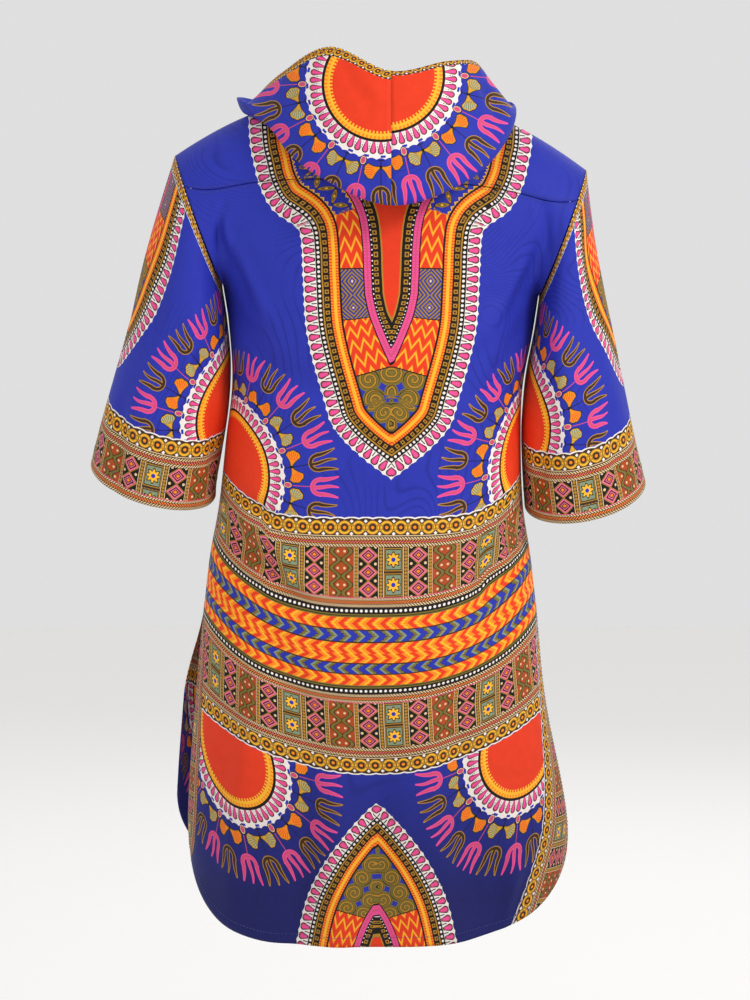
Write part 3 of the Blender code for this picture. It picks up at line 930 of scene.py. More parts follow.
    def sew(self, seam: Seam, points: Numbers, thread: bpy.types.Material) -> None:
        """Sews one seam and hangs it on the frame.

        Args:
            seam: the row of stitches.
            points: the panel's grid.
            thread: the sewing thread.
        """
        name = f"{self.name}_{seam.edge.name.lower()}_stitches"
        row = seam.sew(name, points, self.normals(points))
        row.data.materials.append(thread)
        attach(row, "root")

    def print_names(self) -> list[str]:
        """The prints that this panel uses, each once."""
        return list(dict.fromkeys(zone.print_name for zone in self.zones))

    def lay_print(self, sheet: bmesh.types.BMesh, cloth: Cloth, row: Numbers,
                  column: Numbers) -> None:
        """Gives each face its print and each corner its place in that print.

        Args:
            sheet: the panel's mesh.
            cloth: what is known at the grid's points.
            row: each vertex's row of the grid.
            column: each vertex's column of the grid.
        """
        layer = sheet.loops.layers.uv.new(PRINT_MAP)
        names = self.print_names()
        shape = cloth.run.shape
        corners = np.array([[vert.index for vert in face.verts] for face in sheet.faces])
        rows, columns = row[corners], column[corners]
        chosen = np.full(len(corners), len(self.zones) - 1)
        places = []
        for order, zone in reversed(list(enumerate(self.zones))):
            inside = np.broadcast_to(zone.covers(cloth), shape)[rows, columns].mean(axis=1) >= 0.5
            chosen[inside] = order
            first, second = zone.place(cloth)
            places.insert(0, np.stack((first[rows, columns], second[rows, columns]), axis=-1))
        for index, face in enumerate(sheet.faces):
            order = chosen[index]
            face.material_index = names.index(self.zones[order].print_name)
            for loop, where in zip(face.loops, places[order][index]):
                loop[layer].uv = where


@dataclass(frozen=True)
class Layer:
    """One dye of a print, and where it lies, as a formula that is 1 there."""

    ink: Ink
    where: str


@dataclass(frozen=True)
class Print:
    """A block print: its measures in millimetres and its dyes, the lowest first.

    a and b are the print's own coordinates. Each measure is a formula of the ones before it.
    """

    name: str
    measures: dict[str, str]
    layers: tuple[Layer, ...]


ARITHMETIC = {
    ast.Add: ("ADD", lambda first, second: first + second),
    ast.Sub: ("SUBTRACT", lambda first, second: first - second),
    ast.Mult: ("MULTIPLY", lambda first, second: first * second),
    ast.Div: ("DIVIDE", lambda first, second: first / second),
    ast.Lt: ("LESS_THAN", lambda first, second: float(first < second)),
    ast.Gt: ("GREATER_THAN", lambda first, second: float(first > second)),
    ast.And: ("MINIMUM", min),
    ast.Or: ("MAXIMUM", max),
}
FUNCTIONS = {
    "abs": "ABSOLUTE", "min": "MINIMUM", "max": "MAXIMUM", "sin": "SINE", "cos": "COSINE",
    "atan2": "ARCTAN2", "sqrt": "SQRT", "floor": "FLOOR", "fract": "FRACT",
    "mod": "FLOORED_MODULO", "pingpong": "PINGPONG",
}
SHORTHANDS = {
    "within": ("value low high", "value > low and value < high"),
    "near": ("value middle reach", "abs(value - middle) < reach"),
    "off": ("value pitch", "mod(value, pitch) - pitch / 2"),
    "length": ("first second", "sqrt(first * first + second * second)"),
    "odd": ("value", "mod(floor(value), 2) > 0.5"),
    "saw": ("value pitch", "fract(value / pitch)"),
}


@dataclass
class Graph:
    """Builds a material's nodes, with formulas as chains of Math nodes."""

    tree: bpy.types.NodeTree
    known: dict[str, Source | str] = field(default_factory=dict)
    made: dict[tuple, bpy.types.Node] = field(default_factory=dict)

    def node(self, kind: str, settings: dict[str, object],
             inputs: dict[int | str, object]) -> bpy.types.Node:
        """Adds one node with its settings, values and links, or finds the same one again.

        Args:
            kind: the node's type.
            settings: properties of the node.
            inputs: values or sockets by input.

        Returns:
            The node.
        """
        linked = {name: value.as_pointer() if isinstance(value, bpy.types.NodeSocket) else value
                  for name, value in inputs.items()}
        key = (kind, *settings.items(), *linked.items())
        if key not in self.made:
            node = self.made[key] = self.tree.nodes.new(kind)
            for name, value in settings.items():
                setattr(node, name, value)
            for name, value in inputs.items():
                if isinstance(value, bpy.types.NodeSocket):
                    self.tree.links.new(value, node.inputs[name])
                else:
                    node.inputs[name].default_value = value
        return self.made[key]

    def formula(self, text: str, names: dict[str, Source | str] | None = None) -> Source:
        """Turns a formula into nodes.

        Args:
            text: a formula of numbers, measures, FUNCTIONS and SHORTHANDS.
            names: values that stand before the known measures.

        Returns:
            Its number, or the socket that gives it.
        """
        return self.walk(ast.parse(text).body[0].value, names or {})

    def walk(self, part: ast.AST, names: dict[str, Source | str]) -> Source:
        """Turns one part of a formula into nodes.

        Args:
            part: the part, as parsed.
            names: values that stand before the measures.

        Returns:
            Its number, or the socket that gives it.
        """
        if isinstance(part, ast.Constant):
            return float(part.value)
        if isinstance(part, ast.Name):
            return self.named(part.id, names)
        if isinstance(part, ast.UnaryOp):
            return self.combine(ast.Mult, -1.0, self.walk(part.operand, names))
        if isinstance(part, ast.BinOp):
            sides = self.walk(part.left, names), self.walk(part.right, names)
            return self.combine(type(part.op), *sides)
        if isinstance(part, ast.Compare):
            sides = self.walk(part.left, names), self.walk(part.comparators[0], names)
            return self.combine(type(part.ops[0]), *sides)
        if isinstance(part, ast.BoolOp):
            result = self.walk(part.values[0], names)
            for value in part.values[1:]:
                result = self.combine(type(part.op), result, self.walk(value, names))
            return result
        values = [self.walk(value, names) for value in part.args]
        if part.func.id in SHORTHANDS:
            words, body = SHORTHANDS[part.func.id]
            return self.formula(body, dict(zip(words.split(), values)))
        operation = {"operation": FUNCTIONS[part.func.id]}
        return self.node("ShaderNodeMath", operation, dict(enumerate(values))).outputs[0]

    def named(self, name: str, names: dict[str, Source | str]) -> Source:
        """A value by its name, worked out when it is first asked for.

        Args:
            name: the value's name.
            names: values that stand before the measures.

        Returns:
            Its number, or the socket that gives it.
        """
        if name in names:
            return names[name]
        if isinstance(self.known[name], str):
            self.known[name] = self.formula(self.known[name])
        return self.known[name]

    def combine(self, kind: type, first: Source, second: Source) -> Source:
        """Joins two values, at once where both are plain numbers.

        Args:
            kind: the operator, as parsed.
            first: the left value.
            second: the right value.

        Returns:
            Their number, or the socket that gives it.
        """
        operation, work = ARITHMETIC[kind]
        if isinstance(first, float) and isinstance(second, float):
            return float(work(first, second))
        joined = self.node("ShaderNodeMath", {"operation": operation}, {0: first, 1: second})
        return joined.outputs[0]


# From its scalloped edge to its middle: a chain, a rope, panels, a rope, dots and chevrons.
BORDER = Print("border", {
    "chain": "off(a, 16.9)",
    "bead_row": "b - 12.6",
    "edge": "1.6 * abs(cos(a * 0.18589))",
    "rope": "max(min(b - 23.4, 35.6 - b), min(b - 95.2, 106.6 - b))",
    "rope_row": "mod(b + 0.3, 3.95)",
    "rope_turn": "floor((b + 0.3) / 3.95)",
    "strand": "saw(a + rope_row * (1 - 2 * mod(rope_turn, 2)), 3.6)",
    "p": "pingpong(a, 62.6)",
    "q": "b - 35.6",
    "panel": "within(b, 35.6, 95.2)",
    "box_q": "off(q, 29.8)",
    "box": "max(p / 10.8, abs(box_q) / 13.6)",
    "star_r": "length(p, box_q)",
    "star": "star_r - 1.6 * cos(8 * atan2(box_q, p))",
    "stripe": "within(p, 18.2, 42.0) and panel",
    "diamond": "abs(p - 30.1) / 11.2 + abs(off(q, 19.87)) / 9.6",
    "corner": "length(abs(abs(p - 30.1) - 8.6), abs(off(q + 9.93, 19.87)))",
    "bead": "length(off(q, 4.1), min(abs(p - 14.9), abs(p - 44.6)))",
    "leaf": "within(p, 47.3, 63) and panel",
    "leaf_x": "62.6 - p",
    "vein": "abs(leaf_x - 7 - 4.5 * sin(q * 0.3162))",
    "spot": "length(leaf_x - 4 - 5 * odd(q / 10), off(q, 10))",
    "dots": "length(off(a, 5.9), b - 110.8)",
    "orange_row": "within(b, 118.6, 132.8)",
    "orange_turn": "saw(a + 1.15 * abs(b - 125.7), 16.6)",
    "blue_row": "within(b, 134, 147)",
    "blue_turn": "saw(1.15 * abs(b - 140.5) - a, 16.6)",
    "middle_row": "b > 148.6",
    "middle_turn": "saw(a + 1.25 * abs(b - 155.2), 16.6)",
    "tooth": "0.07 * pingpong(b, 1.5)",
}, (
    Layer(Ink.WHITE, "b > 1.2 - edge"),
    Layer(Ink.BROWN, "b > 3.0 - edge"),
    Layer(Ink.GOLD, "near(bead_row, 0, 8.6) and length(chain, bead_row) > 4.6"),
    Layer(Ink.BROWN, "near(bead_row, 0, 8.6) and length(chain, bead_row) > 8.3"),
    Layer(Ink.YELLOW, "near(length(chain, bead_row), 6.6, 0.8) and b < 22"),
    Layer(Ink.GOLD, "near(length(off(a + 8.45, 16.9), bead_row), 3.4, 0.9)"),
    Layer(Ink.WHITE, "abs(off(a + 8.45, 16.9)) + abs(abs(bead_row) - 7.4) < 2.3"),
    Layer(Ink.ORANGE, "length(chain, bead_row) < 2.0"),
    Layer(Ink.CREAM, "near(b, 22.4, 0.5)"),
    Layer(Ink.BROWN, "b > 22.9"),
    Layer(Ink.CREAM, "rope > 0 and strand < 0.56 and rope_row > 0.7"),
    Layer(Ink.ROSE, "rope > 0 and strand < 0.56 and rope_row > 0.7 and odd(rope_turn)"),
    Layer(Ink.ORANGE, "rope > 3.6 and strand < 0.56 and rope_row > 0.7 and rope < 5.4"),
    Layer(Ink.CREAM, "panel and (near(p, 11.9, 0.45) or near(p, 17.8, 0.45))"),
    Layer(Ink.CREAM, "panel and (near(p, 42.2, 0.45) or near(p, 47.1, 0.45))"),
    Layer(Ink.GOLD, "bead < 1.8 and panel"),
    Layer(Ink.GOLD, "box < 1 and panel"),
    Layer(Ink.BLACK, "box < 0.92 and panel"),
    Layer(Ink.GREY_GREEN, "box < 0.84 and panel"),
    Layer(Ink.BROWN, "star < 8.4 and panel and box < 0.8"),
    Layer(Ink.YELLOW, "star < 6.6 and panel"),
    Layer(Ink.BLUE, "star_r < 2.6 and panel"),
    Layer(Ink.BLACK, "stripe"),
    Layer(Ink.CREAM, "stripe and corner < 1.7"),
    Layer(Ink.GOLD, "stripe and near(diamond, 1.06, 0.06)"),
    Layer(Ink.SALMON, "stripe and diamond < 0.96"),
    Layer(Ink.BLACK, "stripe and diamond < 0.72"),
    Layer(Ink.SALMON, "stripe and diamond < 0.52"),
    Layer(Ink.BLACK, "stripe and diamond < 0.38"),
    Layer(Ink.ORANGE, "stripe and diamond < 0.24"),
    Layer(Ink.RUST, "leaf"),
    Layer(Ink.BLACK, "leaf and vein < 3.4"),
    Layer(Ink.OLIVE, "leaf and vein < 2.2"),
    Layer(Ink.CREAM, "leaf and spot < 1.5"),
    Layer(Ink.ROSE, "near(b, 95.4, 0.5)"),
    Layer(Ink.BLACK, "within(b, 106.8, 114.6)"),
    Layer(Ink.WHITE, "dots < 1.7"),
    Layer(Ink.OLIVE, "within(b, 114.6, 118.6)"),
    Layer(Ink.BLACK, "near(b, 116.6, 0.5)"),
    Layer(Ink.RED, "orange_row"),
    Layer(Ink.ORANGE, "orange_row and orange_turn - tooth < 0.55"),
    Layer(Ink.YELLOW, "orange_row and orange_turn + tooth > 0.36 and orange_turn - tooth < 0.44"),
    Layer(Ink.BROWN, "near(b, 133.4, 0.8)"),
    Layer(Ink.DEEP_BLUE, "blue_row"),
    Layer(Ink.BLUE, "blue_row and blue_turn < 0.5"),
    Layer(Ink.OLIVE, "blue_row and blue_turn + tooth > 0.6 and blue_turn < 0.84"),
    Layer(Ink.GREY_GREEN, "blue_row and blue_turn + tooth > 0.84"),
    Layer(Ink.BROWN, "near(b, 147.8, 0.9)"),
    Layer(Ink.RED, "middle_row"),
    Layer(Ink.ORANGE, "middle_row and middle_turn - tooth < 0.55"),
    Layer(Ink.YELLOW, "middle_row and middle_turn + tooth > 0.36 and middle_turn - tooth < 0.44"),
))

# From its outline inwards: tears, dots, squares, a ladder, blocks, a ladder, squares and red.
NECK_MOTIF = Print("neck_motif", {
    "tear_x": "off(a, 11.7)",
    "taper": "min(1, max(0, (b - 5.4) / 12.5))",
    "tear": "length(tear_x / (1 - 0.8 * taper), min(b - 5.4, 0))",
    "square": "max(abs(off(a, 8.5)), abs(b - 27.4))",
    "ladder": "b - 37.2",
    "rung": "saw(a, 3.6)",
    "inner": "b - 0.14 * max(0, 255 - a)",
    "block": "b > 45 and inner < 71.5",
    "zig": "pingpong(b - 45, 6.62) * 2.3",
    "zigzag": "saw(a - zig, 19)",
    "nest": "abs(b - 58.2) / 13.3 + abs(off(a - 222, 32)) / 16",
    "ring": "saw(nest, 0.36)",
    "spiral_r": "length(off(a, 25), off(b - 45, 26.5))",
    "spiral": "sin(spiral_r * 1.05 + atan2(off(a, 25), off(b - 45, 26.5)))",
    "leaf_block": "block and a > 362",
    "lean": "1 - 2 * odd(a / 13)",
    "pod_a": "off(a, 13) * 0.6 + (b - 58.2) * lean * 0.8",
    "pod_b": "(b - 58.2) * 0.6 - off(a, 13) * lean * 0.8",
    "pod": "abs(pod_a) / 9.2 + pod_b * pod_b / 8.4",
    "tooth": "min(b - 45, 71.5 - b) - pingpong(a, 3.6)",
    "zig_block": "block and (within(a, 287, 362) or within(a, 146, 221))",
    "lattice_block": "block and within(a, 222, 286)",
    "spiral_block": "block and a < 145",
    "inner_square": "max(abs(off(a, 8.5)), abs(inner - 87.5))",
}, (
    Layer(Ink.WHITE, "b > 1.7 * abs(sin(a * 0.26851)) - 1.4"),
    Layer(Ink.BLACK, "abs(tear_x) > 5.2 and within(b, 8.5, 15)"),
    Layer(Ink.BLACK, "tear < 4.8 and within(b, 1, 15)"),
    Layer(Ink.ROSE, "tear < 3.4 and within(b, 1, 13.6)"),
    Layer(Ink.PINK, "tear < 1.9 and within(b, 1, 12.4)"),
    Layer(Ink.BLACK, "b > 15.4"),
    Layer(Ink.WHITE, "length(off(a, 5.85), b - 18.9) < 1.7"),
    Layer(Ink.GOLD, "near(b, 22.8, 0.9)"),
    Layer(Ink.GOLD, "square < 2.5"),
    Layer(Ink.BROWN, "square < 1.2"),
    Layer(Ink.RED, "near(ladder, 0, 5.4)"),
    Layer(Ink.ORANGE, "near(ladder, 0, 5.4) and rung < 0.62"),
    Layer(Ink.YELLOW, "near(ladder, 0, 1.9)"),
    Layer(Ink.BLACK, "b > 42.8"),
    Layer(Ink.RED, "zig_block"),
    Layer(Ink.ORANGE, "zig_block and zigzag < 0.36"),
    Layer(Ink.YELLOW, "zig_block and near(zigzag, 0.18, 0.08)"),
    Layer(Ink.OLIVE, "lattice_block"),
    Layer(Ink.BROWN, "lattice_block and ring > 0.36"),
    Layer(Ink.BLUE, "lattice_block and ring > 0.44"),
    Layer(Ink.GOLD, "lattice_block and (ring > 0.82 or ring < 0.12)"),
    Layer(Ink.CREAM, "lattice_block and nest < 0.13"),
    Layer(Ink.BLACK, "block and (near(a, 286.5, 0.8) or near(a, 221.5, 0.8))"),
    Layer(Ink.BLACK, "block and near(a, 145.5, 0.8)"),
    Layer(Ink.OLIVE, "spiral_block"),
    Layer(Ink.BLACK, "spiral_block and spiral > -0.2 and spiral_r < 12.8"),
    Layer(Ink.GOLD, "spiral_block and spiral > 0.35 and spiral_r < 12"),
    Layer(Ink.BLUE, "spiral_block and spiral_r > 14.6"),
    Layer(Ink.BLUE, "leaf_block"),
    Layer(Ink.BLACK, "leaf_block and pod < 1.12"),
    Layer(Ink.GOLD, "leaf_block and pod < 0.96"),
    Layer(Ink.OLIVE, "leaf_block and pod < 0.66"),
    Layer(Ink.YELLOW, "leaf_block and pod < 0.2"),
    Layer(Ink.YELLOW, "leaf_block and tooth < 0"),
    Layer(Ink.GOLD, "leaf_block and tooth < -1.8"),
    Layer(Ink.ROSE, "within(inner, 73, 81)"),
    Layer(Ink.PINK, "within(inner, 73, 81) and rung < 0.66"),
    Layer(Ink.ROSE, "near(inner, 77, 1.0)"),
    Layer(Ink.GOLD, "inner_square < 2.6"),
    Layer(Ink.BLACK, "inner_square < 1.2"),
    Layer(Ink.WHITE, "length(off(a, 5.85), inner - 83) < 0.9"),
    Layer(Ink.GOLD, "near(inner, 94.6, 0.9)"),
    Layer(Ink.RED, "inner > 95.5"),
))

# From the outside inwards: tridents, fans on stalks, buds, tears, a spiked ring and red.
MEDALLION = Print("medallion", {
    "r": "length(a, b)",
    "turn": "atan2(b, a) / 6.283185",
    "tear_x": "off(turn, 0.0185185) * 6.28319 * r",
    "taper": "min(1, max(0, (80.5 - r) / 12.5))",
    "tear": "length(tear_x / (1 - 0.8 * taper), max(r - 80.5, 0))",
    "spike": "abs(off(turn, 0.0116279)) * 172",
    "pair_x": "off(turn, 0.0714286) * 6.283185 * 105",
    "pair_y": "r - 99.0",
    "olive_pair": "odd(turn * 14)",
    "wing_p": "abs(pair_x) * 0.92 + pair_y * 0.39",
    "wing_q": "pair_y * 0.92 - abs(pair_x) * 0.39",
    "wing_turn": "atan2(wing_q, wing_p + 1)",
    "scallop": "0.8 * abs(cos(wing_turn * 9))",
    "fan_side": "abs(wing_q) - 0.5 - 0.16 * wing_p - 0.033 * wing_p * wing_p",
    "wing": "max(fan_side, length(wing_p - 10.4, wing_q) - 9.6 - scallop)",
    "ray": "saw(wing_turn, 0.15)",
    "bud": "length(off(turn + 0.0357143, 0.0714286) * 560 / 3.2, (r - 93) / 5)",
    "tine_y": "r - 121",
    "tine_x": "off(turn + 0.0178571, 0.0357143) * 6.283185 * (r * 0.6 + 55)",
    "olive_tine": "odd(turn * 28 + 0.5)",
    "fat": "2.7 * sqrt(min(1, max(0, (36 - tine_y) / 23)))",
    "bend": "0.9 * sin(tine_y * 0.19)",
    "bowl": "abs(length(tine_x, tine_y - 11.5) - 8.9) - 2.5 + max(0, tine_y - 11.5) * 9",
    "flare": "8.9 + max(0, tine_y - 16) * 0.17 + bend * 0.5",
    "side_tine": "abs(abs(tine_x) - flare) + max(0, 11.5 - tine_y) * 9 - fat",
    "middle_tine": "abs(tine_x - bend) + max(0, 3 - tine_y) * 9 - fat * 0.85",
    "trident": "min(bowl, min(side_tine, middle_tine)) + max(0, tine_y - 35) * 9",
    "stalk": "near(tine_x, 0, 0.5) and within(r, 97, 122)",
}, (
    Layer(Ink.ROSE, "stalk and olive_tine < 0.5"),
    Layer(Ink.BLACK, "stalk and olive_tine and r > 104"),
    Layer(Ink.GOLD, "trident < 0.25 and olive_tine"),
    Layer(Ink.BROWN, "trident < -0.8 and olive_tine"),
    Layer(Ink.PINK, "trident < 0.25 and olive_tine < 0.5"),
    Layer(Ink.ROSE, "trident < -0.9 and olive_tine < 0.5"),
    Layer(Ink.BLACK, "wing < 1.1"),
    Layer(Ink.GOLD, "wing < 0.2"),
    Layer(Ink.ORANGE, "wing < -0.7 and olive_pair < 0.5"),
    Layer(Ink.RED, "wing < -1.3 and wing_p > 9 and ray < 0.3 and olive_pair < 0.5"),
    Layer(Ink.YELLOW, "wing < -0.6 and olive_pair"),
    Layer(Ink.GREY_GREEN, "wing < -0.9 and wing_p > 8.5 and ray > 0.26 and olive_pair"),
    Layer(Ink.OLIVE, "wing < -0.6 and wing_p < 11 and ray > 0.6 and olive_pair"),
    Layer(Ink.BLACK, "length(pair_x, pair_y) < 1.9"),
    Layer(Ink.BLACK, "near(pair_x, 0, 0.6) and within(r, 90, 104)"),
    Layer(Ink.WHITE, "r < 90.5 - 1.8 * abs(sin(turn * 169.646))"),
    Layer(Ink.BLACK, "near(r, 91.5, 0.5) and near(pair_x, 0, 4)"),
    Layer(Ink.BLACK, "bud < 1.25"),
    Layer(Ink.CREAM, "bud < 1.0"),
    Layer(Ink.ROSE, "bud < 0.8"),
    Layer(Ink.BLUE, "within(r, 85.6, 88.4) and saw(turn + 0.01, 0.0357143) < 0.3"),
    Layer(Ink.BLACK, "abs(tear_x) > 4.0 and within(r, 71, 79) and saw(r, 3.4) < 0.6"),
    Layer(Ink.BLACK, "tear < 3.9 and r < 85"),
    Layer(Ink.ROSE, "tear < 2.8 and r < 84"),
    Layer(Ink.PINK, "tear < 1.5 and r < 82.5"),
    Layer(Ink.BLACK, "r < 70"),
    Layer(Ink.ORANGE, "r < 66.8"),
    Layer(Ink.YELLOW, "r < 66.8 and spike < 0.45"),
    Layer(Ink.YELLOW, "near(r, 61.5, 1.6)"),
    Layer(Ink.YELLOW, "within(r, 57, 61) and spike < 0.5"),
    Layer(Ink.RED, "r < 60.2 and spike > 0.5"),
    Layer(Ink.RED, "r < 57.2"),
))


@dataclass(frozen=True)
class WaxCotton:
    """Plain-woven cotton, printed on both faces and starched: crisp, with a faint sheen.

    The eye gets dense flat dyes, a blue ground with fine darker crackle like wood grain, threads
    that only just show, and small soft dents that the light finds.
    """

    printed: Print
    roughness: float = 0.62
    specular: float = 0.18
    sheen: float = 0.02
    sheen_roughness: float = 0.4
    grain_scale: float = 3.4
    grain_lines: float = 105.0
    grain_line_sharpness: float = 5.0
    grain_strength: float = 0.6
    patch_scale: float = 8.84
    patch_start: float = 0.42
    patch_rate: float = 8.0
    deep_start: float = 0.70
    deep_rate: float = 3.8
    deep_most: float = 0.92
    take_scale: float = 90.0
    take_least: float = 0.90
    take_range: float = 0.2
    dull_start: float = 0.62
    dull_rate: float = 4.0
    dull_most: float = 0.2
    thread_pitch_mm: float = 1.3
    thread_height: float = 0.035
    dent_scale: float = 34.0
    dent_height: float = 1.6
    relief_strength: float = 0.5
    relief_depth: float = 0.001

    def material(self) -> bpy.types.Material:
        """Makes the cloth's material.

        Returns:
            A new material that reads the piece's print map.
        """
        material = bpy.data.materials.new(f"wax_printed_cotton_{self.printed.name}")
        material.use_nodes = True
        tree = material.node_tree
        shader = tree.nodes["Principled BSDF"]
        shader.inputs["Roughness"].default_value = self.roughness
        shader.inputs["Specular IOR Level"].default_value = self.specular
        shader.inputs["Sheen Weight"].default_value = self.sheen
        shader.inputs["Sheen Roughness"].default_value = self.sheen_roughness
        graph = Graph(tree, dict(self.printed.measures))
        laid = graph.node("ShaderNodeUVMap", {"uv_map": PRINT_MAP}, {})
        parts = graph.node("ShaderNodeSeparateXYZ", {}, {0: laid.outputs[0]})
        for name, metres in (("a", parts.outputs[0]), ("b", parts.outputs[1])):
            graph.known[name] = graph.formula("metres * 1000", {"metres": metres})
        place = graph.node("ShaderNodeTexCoord", {}, {}).outputs["Object"]
        graph.known["height"] = graph.node("ShaderNodeSeparateXYZ", {}, {0: place}).outputs[2]
        colour = self.ground(graph, place)
        for layer in self.printed.layers:
            colour = graph.node("ShaderNodeMix", {"data_type": "RGBA"}, {
                0: graph.formula(layer.where), 6: colour, 7: layer.ink.linear()}).outputs[2]
        colour = self.worn(graph, place, colour)
        tree.links.new(colour, shader.inputs["Base Color"])
        tree.links.new(self.relief(graph, place), shader.inputs["Normal"])
        return material

    def ground(self, graph: Graph, place: bpy.types.NodeSocket) -> bpy.types.NodeSocket:
        """The blue ground, deeper towards the hem, with its crackle.

        The crackle is what the wax leaves: lines like wood grain. Real ones lie closer together,
        and these are drawn as coarse as they need to show.

        Args:
            graph: the material's graph.
            place: the place on the tunic.

        Returns:
            The ground's colour.
        """
        noise = graph.node("ShaderNodeTexNoise", {"noise_dimensions": "3D"}, {
            "Vector": place, "Scale": self.grain_scale, "Detail": 1.5, "Roughness": 0.4,
            "Distortion": 0.3})
        patches = graph.node("ShaderNodeTexNoise", {"noise_dimensions": "3D"}, {
            "Vector": place, "Scale": self.patch_scale, "Detail": 1.0})
        lines = graph.formula(
            "max(0, 1 - abs(fract(grain * count) - 0.5) * sharpness)"
            " * min(1, max(0, (patch - start) * rate)) * strength", {
                "grain": noise.outputs[0], "patch": patches.outputs[0],
                "count": self.grain_lines, "sharpness": self.grain_line_sharpness,
                "start": self.patch_start, "rate": self.patch_rate,
                "strength": self.grain_strength})
        blue = graph.node("ShaderNodeMix", {"data_type": "RGBA"}, {
            0: lines, 6: Ink.BLUE.linear(), 7: Ink.LINE_BLUE.linear()})
        depth = graph.formula("min(most, max(0, (0 - start - height) * rate))", {
            "most": self.deep_most, "start": self.deep_start, "rate": self.deep_rate})
        deeper = graph.node("ShaderNodeMix", {"data_type": "RGBA"}, {
            0: depth, 6: blue.outputs[2], 7: Ink.DEEP_BLUE.linear()})
        return deeper.outputs[2]

    def worn(self, graph: Graph, place: bpy.types.NodeSocket,
             colour: bpy.types.NodeSocket) -> bpy.types.NodeSocket:
        """Lets the dyes take a little unevenly, as the weave does, and makes every colour darker
        towards the hem.

        Args:
            graph: the material's graph.
            place: the place on the tunic.
            colour: the printed colour.

        Returns:
            The colour, a little uneven and darker towards the hem.
        """
        noise = graph.node("ShaderNodeTexNoise", {}, {
            "Vector": place, "Scale": self.take_scale, "Detail": 4.0, "Roughness": 0.6})
        # Random uneven take, times a darkening of every colour towards the hem.
        level = graph.formula(
            "(least + range * take) * (1 - most * min(1, max(0, (0 - start - height) * rate)))", {
                "take": noise.outputs[0], "least": self.take_least, "range": self.take_range,
                "most": self.dull_most, "start": self.dull_start, "rate": self.dull_rate})
        shade = graph.node("ShaderNodeHueSaturation", {}, {"Color": colour, "Value": level})
        return shade.outputs[0]

    def relief(self, graph: Graph, place: bpy.types.NodeSocket) -> bpy.types.NodeSocket:
        """Threads and the starch's small dents.

        Real threads lie about 0.4 mm apart, and these are drawn as coarse as they need to show.

        Args:
            graph: the material's graph.
            place: the place on the tunic.

        Returns:
            The direction that the surface faces.
        """
        noise = graph.node("ShaderNodeTexNoise", {}, {
            "Vector": place, "Scale": self.dent_scale, "Detail": 3.0, "Roughness": 0.5})
        height = graph.formula("dent * dented + raised * sin(a * turn) * sin(b * turn)", {
            "dent": noise.outputs[0], "dented": self.dent_height,
            "raised": self.thread_height, "turn": 2 * math.pi / self.thread_pitch_mm})
        bump = graph.node("ShaderNodeBump", {}, {
            "Strength": self.relief_strength, "Distance": self.relief_depth, "Height": height})
        return bump.outputs[0]


@dataclass(frozen=True)
class SewingThread:
    """Spun polyester thread, dyed to the ground: small smooth grains with a soft gleam."""

    colour: str = "20276F"
    roughness: float = 0.5
    sheen: float = 0.3

    def material(self) -> bpy.types.Material:
        """Makes the thread's material.

        Returns:
            A new material.
        """
        material = bpy.data.materials.new("spun_polyester_thread")
        material.use_nodes = True
        tree = material.node_tree
        shader = tree.nodes["Principled BSDF"]
        shader.inputs["Roughness"].default_value = self.roughness
        shader.inputs["Sheen Weight"].default_value = self.sheen
        graph = Graph(tree)
        place = graph.node("ShaderNodeTexCoord", {}, {}).outputs["Object"]
        fibres = graph.node("ShaderNodeTexNoise", {}, {"Vector": place, "Scale": 400.0})
        tint = graph.node("ShaderNodeHueSaturation", {}, {
            "Color": linear_colour(self.colour),
            "Value": graph.formula("0.8 + 0.4 * fibre", {"fibre": fibres.outputs[0]})})
        tree.links.new(tint.outputs[0], shader.inputs["Base Color"])
        return material


